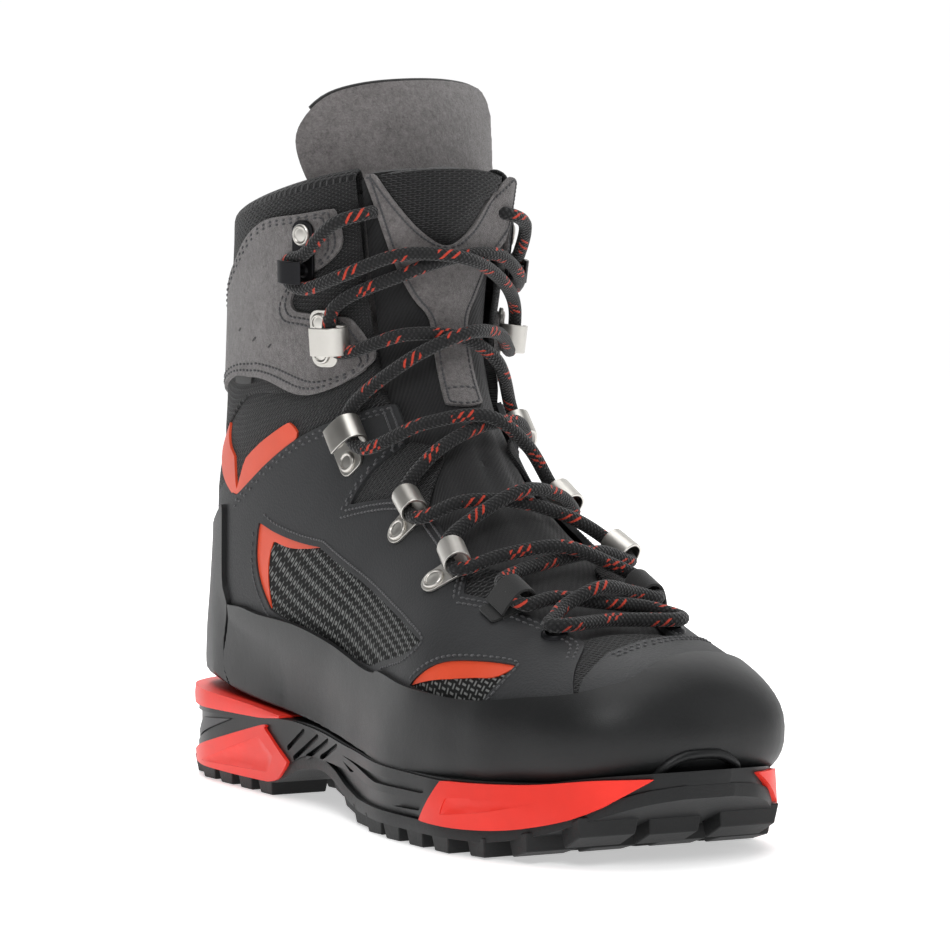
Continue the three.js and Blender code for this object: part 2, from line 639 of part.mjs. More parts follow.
const outerRadius = innerRadius + tubeWall;
const plateTop = clearance + plateThickness;
const tubeHeight = plateTop + outerRadius - 0.3;
const rivet = (x, y) => new THREE.CylinderGeometry(2.5, 3.7, 1.9, 8).rotateX(Math.PI / 2).translate(x, y, 0.75);
const hardware = {
  eyelet: { reach: 0, material: blackMetal },
  loop: { reach: 4, ds: 0.016, da: 6, material: mesh, rivets: [] },
  pulley: { reach: 6.5, ds: 0.024, da: 9, material: steel, rivets: [[3.5, 0]] },
  saddle: { reach: 6, ds: 0.036, da: 8.5, material: steel, rivets: [[2.6, -6], [2.6, 6]] },
  hook: { reach: 0, ds: 0.04, da: 8, material: blackMetal, rivets: [[0.5, 8]] },
};
const postRadius = 1.6;
const postPlace = -4.5;
const eyeletHeight = 1.3;

function holderGeometry({ kind, s, angle, base }, side) {
  const { reach, ds, da, rivets } = hardware[kind];
  const under = (base > 0 ? cuffs : quarters)[side > 0 ? 0 : 1];
  if (kind === 'eyelet') {
    const ring = sleeve(laceDiameter / 2 + 0.3, 4.2, eyeletHeight).rotateX(Math.PI / 2);
    return fitted(ring, placed(s, angle, side, clearance + 0.1 + eyeletHeight / 2));
  }
  const plate = trimmed(layer(sided(side, (u, v) => [s + ds * (2 * u - 1), angle + da * (2 * v - 1)]),
    base + clearance - sink, base + plateTop, 3, 3), under);
  const studs = rivets.map(([x, y]) => fitted(rivet(x, y), placed(s, angle, side, base + clearance + 0.6)));
  if (kind === 'hook') {
    const capHeight = plateTop + laceDiameter + 0.9;
    const post = new THREE.CylinderGeometry(postRadius, postRadius, capHeight - 0.4, 8);
    post.rotateX(Math.PI / 2).translate(0, postPlace, capHeight / 2 + 0.6);
    const cap = new THREE.CylinderGeometry(4, 4.6, 1.4, 8).rotateX(Math.PI / 2);
    cap.translate(1, postPlace, capHeight + 0.7);
    return join(plate, ...studs, ...[post, cap].map((shape) => fitted(shape, placed(s, angle, side, base))));
  }
  let tube = fitted(sleeve(innerRadius, outerRadius, tubeLength), placed(s, angle - reach, side, base + tubeHeight));
  if (kind === 'saddle') {
    const mouth = new THREE.BoxGeometry(2 * outerRadius, tubeLength + 2, innerRadius * 1.5);
    tube = cut(tube, fitted(mouth.translate(outerRadius, 0, 0), placed(s, angle - reach, side, base + tubeHeight)));
  }
  return join(plate, ...studs, tube);
}
holders.forEach((holder, i) => {
  for (const [name, side] of Object.entries(sides)) {
    add(`${holder.kind}_${i + 1}_${name}`, holderGeometry(holder, side), hardware[holder.kind].material);
  }
});

// ---- the lace ----------------------------------------------------------------------------------

const laceRadius = laceDiameter / 2;
const local = (matrix, list) => list.map(([x, y, z]) => new THREE.Vector3(x, y, z).applyMatrix4(matrix));

// the lace's points at one holder, from below it to above it
function roundHolder(i, side) {
  const { kind, s, angle, base } = holders[i];
  if (kind === 'eyelet') {
    const height = clearance + 0.1 + eyeletHeight + 0.4 + laceRadius;
    return local(placed(s, angle, side, height), [[-2.5, -3.3, 0], [2, 0, 0.2], [-2.5, 3.3, 0]]);
  }
  if (kind === 'hook') {
    const height = base + plateTop + 0.5 + laceRadius;
    return local(placed(s, angle, side, height),
      [[-2.4, -5.6, 0], [3.8, -3.6, 0], [5.4, 0, 0], [3.8, 3.6, 0], [-2.4, 5.6, 0]]
        .map(([x, y, z]) => [x, y + postPlace, z]));
  }
  const end = tubeLength / 2 + 2.4;
  return local(placed(s, angle - hardware[kind].reach, side, base + tubeHeight), [[0, -end, 0], [0, end, 0]]);
}

// the lace's points across the tongue from one side of pair i to the other side of pair i + 1
function across(i, side) {
  const over = (side > 0) === (i % 2 === 0);
  const s = (t) => mix(holders[i].s, holders[i + 1].s, t);
  const spread = 0.6 * Math.min(holders[i].angle, 36);
  return [above(s(0.36), side * spread, over ? 5 : 3.5), above(s(0.5), 0, over ? 8.6 : 3.3),
    above(s(0.64), -side * spread, over ? 5.4 : 4.8)];
}

// one half of the lace, from the eyelet of one side to the end tucked behind the tongue
function laceHalf(side) {
  const points = [...roundHolder(0, side)];
  let now = side;
  for (let i = 0; i < holders.length - 1; i++) {
    points.push(...across(i, now));
    now = -now;
    if (holders[i + 1].kind === 'hook') points.push(above(0.903, now * 44, 7));
    points.push(...roundHolder(i + 1, now));
  }
  points.push(above(0.958, now * 47, 7), above(0.96, now * 37, 3), above(0.957, now * 34, -5),
    above(0.932, now * 28, -12.4), above(0.86, now * 18, -11));
  return points;
}
const lacePoints = [...laceHalf(1).reverse(), above(0.252, 0, 2), ...laceHalf(-1)];

// a closed tube with eight sides through a list of points
function cordGeometry(points, radius) {
  const route = new THREE.CatmullRomCurve3(points);
  route.getPointAt = (t) => route.getPoint(t);
  route.getTangentAt = (t) => route.getTangent(t);
  const corners = Array.from({ length: 8 }, (_, i) =>
    new THREE.Vector2(Math.cos((i * Math.PI) / 4), Math.sin((i * Math.PI) / 4)).multiplyScalar(radius));
  const tube = new THREE.ExtrudeGeometry(new THREE.Shape(corners),
    { steps: points.length - 1, bevelEnabled: false, extrudePath: route });
  const merged = mergeVertices(bare(tube), 1e-4);
  return volumeOf(merged) < 0 ? flipped(merged) : merged;
}
add('lace', cordGeometry(lacePoints, laceRadius), laceBlack);

// stiff tips on the lace's ends
const agletLength = 14;
for (const [name, points] of [['lateral', lacePoints.slice(0, 2)], ['medial', lacePoints.slice(-2).reverse()]]) {
  const way = points[0].clone().sub(points[1]).normalize();
  const start = points[0].clone().addScaledVector(way, clearance);
  const tip = [0, 0.5, 1].map((t) => start.clone().addScaledVector(way, agletLength * t));
  add(`aglet_${name}`, cordGeometry(tip, laceRadius * 0.85), blackMetal);
}

// the origin: on the ground under the middle of the boot's box
const extent = new THREE.Box3().setFromObject(boot);
const middle = extent.getCenter(new THREE.Vector3());
boot.position.set(-middle.x, -middle.y, -extent.min.z);

export default boot;
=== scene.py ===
import bpy
import bmesh
import json
from math import atan2, ceil, cos, degrees, hypot, pi, radians, sin
from mathutils import Matrix, Vector
from mathutils.geometry import tessellate_polygon


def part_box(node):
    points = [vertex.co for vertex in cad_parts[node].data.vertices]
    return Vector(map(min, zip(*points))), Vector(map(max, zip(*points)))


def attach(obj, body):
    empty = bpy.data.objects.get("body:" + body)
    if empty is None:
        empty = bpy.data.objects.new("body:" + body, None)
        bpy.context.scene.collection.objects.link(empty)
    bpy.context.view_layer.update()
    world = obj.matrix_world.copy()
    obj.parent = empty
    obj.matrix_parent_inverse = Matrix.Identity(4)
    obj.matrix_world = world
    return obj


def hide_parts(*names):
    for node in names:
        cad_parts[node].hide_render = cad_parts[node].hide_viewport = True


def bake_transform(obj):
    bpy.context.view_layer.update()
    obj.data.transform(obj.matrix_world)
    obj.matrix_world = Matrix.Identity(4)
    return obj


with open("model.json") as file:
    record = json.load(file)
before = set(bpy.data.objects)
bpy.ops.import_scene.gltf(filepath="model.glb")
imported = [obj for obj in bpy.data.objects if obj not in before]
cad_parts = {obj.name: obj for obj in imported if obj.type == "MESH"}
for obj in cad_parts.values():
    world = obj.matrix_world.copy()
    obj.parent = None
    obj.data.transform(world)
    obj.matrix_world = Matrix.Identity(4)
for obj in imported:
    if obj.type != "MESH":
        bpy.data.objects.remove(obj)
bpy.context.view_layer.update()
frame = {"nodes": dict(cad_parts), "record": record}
mm = 0.001
print("frame loaded")


# the last: every panel of the upper lies on it, as in the CAD model

def smoothThrough(points):  # a curve through rising x values that never overshoots
    slopes = [(b[1] - a[1]) / (b[0] - a[0]) for a, b in zip(points, points[1:])]
    tangents = [slopes[0]]
    for before, after in zip(slopes, slopes[1:]):
        tangents.append(0.0 if before * after <= 0 else 2 * before * after / (before + after))
    tangents.append(slopes[-1])

    def value(x):
        if x <= points[0][0]:
            return points[0][1]
        if x >= points[-1][0]:
            return points[-1][1]
        i = next(k for k, p in enumerate(points) if p[0] > x) - 1
        h = points[i + 1][0] - points[i][0]
        t = (x - points[i][0]) / h
        return (points[i][1] + t * t * (3 - 2 * t) * (points[i + 1][1] - points[i][1])
                + h * t * (1 - t) * ((1 - t) * tangents[i] - t * tangents[i + 1]))
    return value


# place s, top y and z, bottom y and z, half width, centre share, top and bottom power, shift x, in mm
stations = [
    (0.00, -149, 40, -149, 40, 0, 0.50, 2.0, 2.0, 2.5),
    (0.03, -144, 53, -145, 30, 25, 0.47, 2.0, 2.4, 2.5),
    (0.08, -134, 60, -135, 25, 37, 0.43, 2.1, 3.0, 2.8),
    (0.16, -117, 65, -117, 21, 44.5, 0.38, 2.3, 3.6, 2.8),
    (0.26, -95, 71, -94, 18, 50, 0.36, 2.3, 4.0, 2.2),
    (0.38, -68, 84, -61, 19, 50, 0.36, 2.3, 4.0, 0),
    (0.50, -44, 101, -17, 22, 43, 0.38, 2.2, 3.4, -1),
    (0.60, -22, 119, 46, 26, 37, 0.43, 2.1, 2.8, -1),
    (0.68, -7, 136, 112, 28, 37, 0.48, 2.1, 2.5, 0),
    (0.75, 2, 152, 148, 42, 37, 0.50, 2.1, 2.3, 0),
    (0.82, 6, 168, 149, 80, 37, 0.50, 2.1, 2.2, 0),
    (0.90, 8, 188, 132, 129, 40, 0.50, 2.1, 2.2, 0),
    (1.00, 6, 216, 121, 195, 43, 0.50, 2.1, 2.2, 0),
]
tableSteps = 400
columns = [smoothThrough([(row[0], row[i]) for row in stations]) for i in range(1, 10)]
stationTable = [[column(k / tableSteps) for column in columns] for k in range(tableSteps + 1)]
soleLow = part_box("sole_frame")[0]
place = Vector((soleLow.x + 0.053, soleLow.y + 0.154, 0))  # from the last's own origin to the boot's


def stationAt(s):
    k = min(max(s, 0.0), 1.0) * tableSteps
    i = min(int(k), tableSteps - 1)
    return [a + (b - a) * (k - i) for a, b in zip(stationTable[i], stationTable[i + 1])]


def onLast(s, angle):  # angle 0 is the front or top, 90 the outer side, 180 the back or bottom
    topY, topZ, lowY, lowZ, half, centre, topPower, lowPower, shift = stationAt(s)
    c, n = cos(radians(angle)), sin(radians(angle))
    power = topPower if c >= 0 else lowPower
    reach = abs(c) ** (2 / power)
    share = centre + (1 - centre) * reach if c >= 0 else centre - centre * reach
    side = (1 if n >= 0 else -1) * abs(n) ** (2 / power)
    return Vector((shift - side * half, lowY + (topY - lowY) * share, lowZ + (topZ - lowZ) * share)) * mm + place


def directions(s, angle):  # along the boot, round the ring and outwards
    at = min(max(s, 0.006), 0.994)
    along = (onLast(at + 0.006, angle) - onLast(at - 0.006, angle)).normalized()
    round_ = (onLast(at, angle + 2) - onLast(at, angle - 2)).normalized()
    out = Vector((0, -1, 0)) if s <= 0 else along.cross(round_).normalized()
    return along, round_, out


def above(s, angle, height):  # height in mm
    return onLast(s, angle) + directions(s, angle)[2] * height * mm


travel = [0.0]
for k in range(1, 101):
    travel.append(travel[-1] + 1000 * max((onLast(k / 100, a) - onLast((k - 1) / 100, a)).length for a in (0, 180)))
travelOf = smoothThrough([(i / 100, way) for i, way in enumerate(travel)])
placeOf = smoothThrough([(way, i / 100) for i, way in enumerate(travel)])


def mix(a, b, t):
    return a + (b - a) * t


def clipped(x):  # held between 0 and 1
    return min(max(x, 0), 1)


# camera, floor and light

studio = {"turn": -29, "tilt": 3.3, "distance": 1.5, "aim": (0, -0.010, 0.114), "lens": 170.5,
          "keyPower": 17, "fillPower": 4, "rimPower": 12, "topPower": 13, "worldLight": 0.1, "floorTone": 0.95,
          "floorLight": 0.5, "backdropLight": 1.0, "backdropPlace": 3.5}


def lookAt(obj, target):
    obj.rotation_euler = (Vector(target) - obj.location).to_track_quat("-Z", "Y").to_euler()


def stageSheet(name, finish, matrix=Matrix()):
    finish.set("Emission Color", (1, 1, 1, 1))
    sheet = bpy.data.objects.new(name, bpy.data.meshes.new(name))
    bm = bmesh.new()
    bmesh.ops.create_grid(bm, x_segments=1, y_segments=1, size=6, matrix=matrix)
    bm.to_mesh(sheet.data)
    bm.free()
    bpy.context.scene.collection.objects.link(sheet)
    sheet.data.materials.append(finish.material)
    return sheet


def makeStudio():
    scene = bpy.context.scene
    aim = Vector(studio["aim"]) + place
    turn, tilt = radians(studio["turn"]), radians(studio["tilt"])
    camera = bpy.data.objects.new("camera", bpy.data.cameras.new("camera"))
    camera.location = aim + studio["distance"] * Vector((sin(turn) * cos(tilt), -cos(turn) * cos(tilt), sin(tilt)))
    camera.data.lens = studio["lens"]
    camera.data.clip_start = 0.05
    scene.collection.objects.link(camera)
    lookAt(camera, aim)
    scene.camera = camera
    stageSheet("floor", Finish("floor", roughness=0.7, color=(studio["floorTone"],) * 3,
                               emission_strength=studio["floorLight"]))
    backdrop = stageSheet("backdrop", Finish("backdrop", color=(0, 0, 0), emission_strength=studio["backdropLight"]),
                          Matrix.Rotation(pi / 2, 4, "X"))
    backdrop.location = aim + Vector((-sin(turn), cos(turn), 0)) * studio["backdropPlace"]
    backdrop.rotation_euler.z = turn
    for name, spot, size in (("key", (-0.9, -1.3, 1.5), 0.9), ("fill", (1.3, -1.0, 0.7), 1.2),
                             ("rim", (0.3, 1.2, 1.3), 0.8), ("top", (0, -0.2, 1.8), 1.4)):
        lamp = bpy.data.objects.new(name, bpy.data.lights.new(name, "AREA"))
        lamp.data.size = size
        lamp.data.energy = studio[name + "Power"]
        lamp.location = spot
        scene.collection.objects.link(lamp)
        lookAt(lamp, (0, 0, 0.1))
    world = bpy.data.worlds.new("studio")
    world.use_nodes = True
    world.node_tree.nodes["Background"].inputs[0].default_value = (1, 1, 1, 1)
    world.node_tree.nodes["Background"].inputs[1].default_value = studio["worldLight"]
    scene.world = world
    scene.view_settings.view_transform = "Standard"


# finishes

class Value:  # a socket that takes part in sums
    def __init__(self, finish, socket):
        self.finish, self.socket = finish, socket

    def calc(self, operation, *others):
        values = {i + 1: other for i, other in enumerate(others)}
        return self.finish.node("ShaderNodeMath", {"operation": operation}, {0: self, **values})

    def __add__(self, other):
        return self.calc("ADD", other)

    __radd__ = __add__

    def __mul__(self, other):
        return self.calc("MULTIPLY", other)

    __rmul__ = __mul__

    def __sub__(self, other):
        return self.calc("SUBTRACT", other)

    def __rsub__(self, other):
        return self.finish.node("ShaderNodeMath", {"operation": "SUBTRACT"}, {0: other, 1: self})

    def __truediv__(self, other):
        return self.calc("DIVIDE", other)

    def wave(self, length):  # 0 to 1 and back in each length
        return (self * (2 * pi / length)).calc("SINE") * 0.5 + 0.5

    def saw(self, length):  # 0 to 1 in each length
        return (self / length).calc("FRACT")

    def above(self, limit, soft=0.1):  # 0 under a limit, 1 over it
        return self.finish.node("ShaderNodeMapRange", {"interpolation_type": "SMOOTHSTEP"},
                                {"Value": self, "From Min": limit - soft, "From Max": limit + soft})


class Finish:
    def __init__(self, name, color=None, **sockets):
        self.material = bpy.data.materials.new(name)
        self.material.use_nodes = True
        self.tree = self.material.node_tree
        self.shader = self.tree.nodes["Principled BSDF"]
        for key, value in sockets.items():
            self.set(key.replace("_", " ").title(), value)
        if color:
            self.shader.inputs["Base Color"].default_value = (*color, 1)
        self.spots = {}
        self.set("Specular IOR Level", 0.32)

    def set(self, key, value):
        self.shader.inputs[key].default_value = value

    def node(self, kind, settings=None, values=None, out=0):
        node = self.tree.nodes.new(kind)
        for key, value in (settings or {}).items():
            setattr(node, key, value)
        for key, value in (values or {}).items():
            if isinstance(value, Value):
                self.tree.links.new(value.socket, node.inputs[key])
            else:
                node.inputs[key].default_value = value
        return Value(self, node.outputs[out])

    def coords(self, kind):
        if kind not in self.spots:
            self.spots[kind] = self.node("ShaderNodeTexCoord", out=kind)
        return self.spots[kind]

    def axes(self):
        split = self.node("ShaderNodeSeparateXYZ", values={0: self.coords("UV")})
        node = split.socket.node
        return [Value(self, node.outputs[i]) for i in range(3)]

    def noise(self, scale, detail=3, rough=0.5, stretch=None):
        where = self.coords("Object")
        if stretch:
            where = self.node("ShaderNodeMapping", values={"Vector": where, "Scale": stretch})
        return self.node("ShaderNodeTexNoise", values={"Vector": where, "Scale": scale, "Detail": detail,
                                                       "Roughness": rough})

    def cells(self, scale):
        return self.node("ShaderNodeTexVoronoi", values={"Vector": self.coords("Object"), "Scale": scale})

    def blendColor(self, mask, first, second):
        return self.node("ShaderNodeMix", {"data_type": "RGBA"}, {0: mask, 6: first, 7: second}, out=2)

    def color(self, value):
        self.tree.links.new(value.socket, self.shader.inputs["Base Color"])

    def rough(self, value):
        self.tree.links.new(value.socket, self.shader.inputs["Roughness"])

    def bump(self, height, distance):
        bump = self.node("ShaderNodeBump", values={"Height": height, "Distance": distance, "Strength": 1.0})
        self.tree.links.new(bump.socket, self.shader.inputs["Normal"])


def rgba(r, g, b):
    return (r, g, b, 1)


def rubberFinish(name, tone, shine, grain=0.00006):
    f = Finish(name)
    cloud = f.noise(28, 4, 0.6)
    fine = f.noise(2600, 2, 0.6)
    f.color(f.blendColor(cloud, rgba(*[c * 0.8 for c in tone]), rgba(*[c * 1.25 for c in tone])))
    f.rough(cloud * 0.16 + (shine - 0.08) + fine * 0.05)
    f.bump(fine + f.noise(420, 2) * 0.8, grain)
    return f.material


def leatherFinish():
    f = Finish("coatedLeather")
    cloud = f.noise(40, 4, 0.6)
    grain = f.cells(1100) * 0.7 + f.noise(2200, 3, 0.7) * 0.5
    f.color(f.blendColor(cloud * 0.6 + grain * 0.5, rgba(0.015, 0.0155, 0.0165), rgba(0.041, 0.042, 0.044)))
    f.rough(grain * 0.18 + cloud * 0.1 + 0.46)
    f.bump(grain, 0.00012)
    return f.material


def suedeFinish(name, dark, light):
    f = Finish(name, sheen_weight=0.35, sheen_roughness=0.5)
    nap = f.noise(1500, 5, 0.8)
    patch = f.noise(60, 4, 0.65)
    speck = f.noise(520, 3, 0.7)
    f.color(f.blendColor(((patch * 0.3 + speck * 0.45 + nap * 0.6) - 0.67) * 3.2 + 0.5, rgba(*dark), rgba(*light)))
    f.rough(nap * 0.1 + 0.86)
    f.bump(nap + speck * 0.7, 0.0006)
    return f.material


def meshFinish(name, pitch, tone):  # open cells in rows, each row shifted by half a cell
    f = Finish(name, sheen_weight=0.15, sheen_roughness=0.5)
    x, y, _ = f.axes()
    lines = y / (pitch * 0.62)
    across = ((x + lines.calc("FLOOR") * (pitch / 2)) / pitch).calc("FRACT") - 0.5
    up = lines.calc("FRACT") - 0.5
    hole = 1 - (across * across * 4.4 + up * up * 4.0).above(0.52, 0.26)
    knit = f.noise(5200, 2, 0.7)
    f.color(f.blendColor(hole, rgba(0.020 * tone, 0.020 * tone, 0.0215 * tone), rgba(0.0035, 0.0035, 0.004)))
    f.rough(hole * 0.1 + knit * 0.15 + 0.72)
    f.bump(1 - hole + knit * 0.35, 0.00075)
    return f.material


def weaveFinish():  # short grey slubs laid across and along in turn on a black ground
    f = Finish("slubWeave")
    x, y, _ = f.axes()
    pitch = 2.5
    columns, lines = x / pitch + f.noise(120, 2) * 0.05, y / pitch
    turned = ((columns.calc("FLOOR") + lines.calc("FLOOR")) / 2).calc("FRACT").above(0.25, 0.01)
    fx, fy = columns.calc("FRACT"), lines.calc("FRACT")
    a, b = fx * (1 - turned) + fy * turned, fy * (1 - turned) + fx * turned
    slub = a.calc("PINGPONG", 0.5).above(0.33, 0.07)
    ends = b.calc("PINGPONG", 0.5).above(0.08, 0.05)
    thread = f.noise(4200, 3, 0.7)
    mask = slub * ends
    f.color(f.blendColor(mask * (thread * 0.8 + 0.5), rgba(0.0035, 0.004, 0.004), rgba(0.21, 0.215, 0.21)))
    f.rough(0.85 - mask * 0.15)
    f.bump(mask + thread * 0.3, 0.0005)
    return f.material


def knitFinish(name, dark, light, pitch=0.9):  # fine lining or stretch fabric with hairline ribs
    f = Finish(name, sheen_weight=0.2, sheen_roughness=0.6)
    x, y, _ = f.axes()
    ribs = (x + y * 0.35).wave(pitch)
    fuzz = f.noise(3800, 3, 0.7)
    f.color(f.blendColor(ribs * 0.5 + fuzz * 0.5, rgba(*dark), rgba(*light)))
    f.rough(fuzz * 0.1 + 0.82)
    f.bump(ribs * 0.6 + fuzz * 0.5, 0.00018)
    return f.material


def metalFinish(name, tone, shine, metal=1.0):
    f = Finish(name, metallic=metal)
    scuff = f.noise(900, 4, 0.7)
    cloud = f.noise(160, 3, 0.6)
    f.color(f.blendColor(cloud, rgba(*[c * 0.86 for c in tone]), rgba(*tone)))
    f.rough(scuff * 0.16 + cloud * 0.1 + shine - 0.1)
    f.bump(scuff, 0.00002)
    return f.material


def boardFinish(name, dark, light):
    f = Finish(name, roughness=0.9)
    fibre = f.noise(500, 4, 0.7, stretch=(1, 0.2, 1))
    f.color(f.blendColor(fibre, rgba(*dark), rgba(*light)))
    f.bump(fibre, 0.0001)
    return f.material


def laceFinish():  # UV: x runs along the lace, y round it, both in mm
    f = Finish("laceBraid", sheen_weight=0.2, sheen_roughness=0.5)
    x, y, _ = f.axes()
    pick = 1.55
    fleckPitch, girth, lay = 17.0, 14.45, 0.78
    one, two = x + y * lay, x - y * lay
    ridge = one.saw(pick).calc("PINGPONG", 0.5) * two.saw(pick).calc("PINGPONG", 0.5) * 4
    run, pair = x.saw(fleckPitch), one.saw(pick * 2)
    strand = pair.above(0.3, 0.03) * (1 - pair.above(0.62, 0.03))
    column = (y / girth * 4 + x / fleckPitch).saw(2.0).above(0.5, 0.02)
    fleck = run.above(0.36, 0.01) * (1 - run.above(0.78, 0.01)) * strand * column
    thread = f.noise(6500, 2, 0.7)
    f.color(f.blendColor(fleck, f.blendColor(ridge, rgba(0.004, 0.004, 0.0045), rgba(0.022, 0.022, 0.023)),
                         rgba(0.55, 0.045, 0.02)))
    f.rough(thread * 0.15 + 0.68)
    f.bump(ridge + thread * 0.25, 0.0004)
    return f.material


def makeFinishes():
    return {
        "rubber": rubberFinish("randRubber", (0.0125, 0.013, 0.0135), 0.43),
        "treadRubber": rubberFinish("treadRubber", (0.0105, 0.011, 0.0115), 0.5, 0.0001),
        "frame": rubberFinish("soleFrame", (0.0085, 0.009, 0.0095), 0.42, 0.00003),
        # painted highlight: a lighter grey rubber that stands in for the silver-grey highlight on the heel triangle's
        # black facet
        "facetHighlight": rubberFinish("paintedFacetHighlight", (0.085, 0.087, 0.09), 0.5, 0.00004),
        "red": rubberFinish("redSole", (0.86, 0.036, 0.022), 0.42, 0.00003),
        "redFilm": rubberFinish("redFilm", (0.72, 0.075, 0.028), 0.38, 0.00004),
        "leather": leatherFinish(),
        "suede": suedeFinish("greySuede", (0.080, 0.073, 0.072), (0.232, 0.216, 0.214)),
        "mesh": meshFinish("spacerMesh", 2.1, 0.6),
        "tongueMesh": meshFinish("tongueMesh", 3.0, 0.45),
        "weave": weaveFinish(),
        "stretch": knitFinish("stretchFabric", (0.004, 0.004, 0.0045), (0.013, 0.013, 0.014), 1.6),
        "lining": knitFinish("lining", (0.010, 0.010, 0.011), (0.035, 0.035, 0.037)),
        "binding": knitFinish("binding", (0.006, 0.006, 0.006), (0.018, 0.018, 0.018), 0.7),
        # stitch thread: its own dark grey, lightened further as a painted highlight on the raised stitches
        "thread": knitFinish("thread", (0.035, 0.035, 0.037), (0.095, 0.095, 0.10), 0.4),
        "footbed": knitFinish("footbed", (0.42, 0.035, 0.018), (0.62, 0.07, 0.035), 1.2),
        "nickel": metalFinish("nickel", (0.66, 0.64, 0.60), 0.34),
        "blackMetal": metalFinish("blackMetal", (0.02, 0.02, 0.022), 0.36, 0.8),
        "board": boardFinish("fibreBoard", (0.35, 0.27, 0.17), (0.55, 0.45, 0.31)),
        "lace": laceFinish(),
    }


makeStudio()
finishes = makeFinishes()
print("studio and finishes made")


# flat patterns, and the surfaces that they are laid on

degreeWidth = 0.7  # mm of pattern for each degree round the last


def strip(s, angle):
    return Vector((angle * degreeWidth, travelOf(s), 0))


def stripSurface(x, y, height):
    return above(placeOf(y), x / degreeWidth, height)


def polar(s, angle):  # round the toe tip, for what wraps over it
    return Vector((sin(radians(angle)), -cos(radians(angle)), 0)) * travelOf(s)


def polarSurface(x, y, height):
    return above(placeOf(hypot(x, y)), degrees(atan2(x, -y)), height)


def evenly(points, spacing):  # a polyline resampled at even steps
    lengths = [(b - a).length for a, b in zip(points, points[1:])]
    count = max(1, round(sum(lengths) / spacing))
    made, i, gone = [], 0, 0.0
    for k in range(count + 1):
        want = sum(lengths) * k / count
        while i < len(lengths) - 1 and gone + lengths[i] < want:
            gone += lengths[i]
            i += 1
        made.append(points[i].lerp(points[i + 1], min(1, (want - gone) / max(lengths[i], 1e-9))))
    return made


def curveThrough(points, steps=10):
    if len(points) < 3:
        return points
    made = []
    for i in range(len(points) - 1):
        a, b, c, d = points[max(i - 1, 0)], points[i], points[i + 1], points[min(i + 2, len(points) - 1)]
        for k in range(steps):
            t = k / steps
            made.append(0.5 * (2 * b + (c - a) * t + (2 * a - 5 * b + 4 * c - d) * t * t
                               + (3 * b - a - 3 * c + d) * t ** 3))
    return made + [points[-1]]


def line(stretch, side=1, flat=strip, spacing=2.5):
    return evenly(curveThrough([flat(s, side * angle) for s, angle in stretch]), spacing)


def loop(stretches, side=1, flat=strip, spacing=2.5):  # stretches meet in corners, slightly rounded
    points = []
    for i, stretch in enumerate(stretches):
        start = stretches[i - 1][-1]
        points += line([start] + stretch, side, flat, spacing)[:-1]
    return [points[i - 1] * 0.15 + p * 0.7 + points[(i + 1) % len(points)] * 0.15 for i, p in enumerate(points)]


def rimDistance(x, y, points):  # from a flat place to a closed outline or an open line
    p = Vector((x, y, 0))
    best = 1e9
    for a, b in zip(points, points[1:]):
        ab = b - a
        t = clipped((p - a).dot(ab) / max(ab.length_squared, 1e-9))
        best = min(best, (p - a - ab * t).length)
    return best


def valueAt(height, x, y):
    return height(x, y) if callable(height) else height


def newPiece(name, bm, finish, smooth=True):
    mesh = bpy.data.meshes.new(name)
    bm.to_mesh(mesh)
    bm.free()
    mesh.polygons.foreach_set("use_smooth", [smooth] * len(mesh.polygons))
    mesh.materials.append(finishes[finish])
    piece = bpy.data.objects.new(name, mesh)
    bpy.context.scene.collection.objects.link(piece)
    return piece


def rounded(piece, width, segments=2, angle=40):
    bevel = piece.modifiers.new("edges", "BEVEL")
    bevel.width, bevel.segments, bevel.profile = width * mm, segments, 0.5
    bevel.limit_method, bevel.angle_limit = "ANGLE", radians(angle)
    bevel.harden_normals = True
    return piece


def thickened(piece, thickness):
    shell = piece.modifiers.new("thickness", "SOLIDIFY")
    shell.thickness, shell.offset = thickness * mm, -1
    return piece


# a panel cut from flat outlines, the first one less the others, then laid on its surface
def cutPanel(name, loops, high, thickness, finish, surface=stripSurface, edge=0.4, cell=4.0):
    bm = bmesh.new()
    outlines = [[bm.verts.new(p) for p in points] for points in loops]
    corners = [v for outline in outlines for v in outline]
    for a, b, c in tessellate_polygon([[v.co for v in outline] for outline in outlines]):
        if (corners[b].co - corners[a].co).cross(corners[c].co - corners[a].co).length > 1e-6:
            bm.faces.new((corners[a], corners[b], corners[c]))
    for axis in (0, 1):
        places = [p[axis] for points in loops for p in points]
        normal = Vector((1 - axis, axis, 0))
        for k in range(ceil(min(places) / cell), ceil(max(places) / cell)):
            cut = bmesh.ops.bisect_plane(bm, geom=bm.verts[:] + bm.edges[:] + bm.faces[:], dist=1e-4,
                                         plane_co=normal * (k * cell), plane_no=normal)
            for item in cut["geom_cut"]:
                if isinstance(item, bmesh.types.BMEdge):
                    item.seam = True
    bmesh.ops.dissolve_limit(bm, angle_limit=0.01, verts=bm.verts[:], edges=bm.edges[:], delimit={"SEAM"})
    uv = bm.loops.layers.uv.new("pattern")
    for face in bm.faces:
        for corner in face.loops:
            corner[uv].uv = corner.vert.co.xy
    for rib in bm.edges:
        rib.seam = False
    bm.normal_update()
    for vert in bm.verts:
        x, y = vert.co.xy
        vert.co = surface(x, y, valueAt(high, x, y))
    bm.normal_update()
    probe = max(bm.faces, key=lambda f: f.calc_area())
    x, y = (sum((c[uv].uv for c in probe.loops), Vector((0, 0))) / len(probe.loops))
    if probe.normal.dot(surface(x, y, 3) - surface(x, y, 0)) < 0:
        bmesh.ops.reverse_faces(bm, faces=bm.faces[:])
    return rounded(thickened(newPiece(name, bm, finish), thickness), edge)


def settle(piece, body, *nodes, slot=None):
    if body == "flex":
        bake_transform(piece)
    else:
        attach(piece, body)
    if nodes:
        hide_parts(*nodes)
    return piece


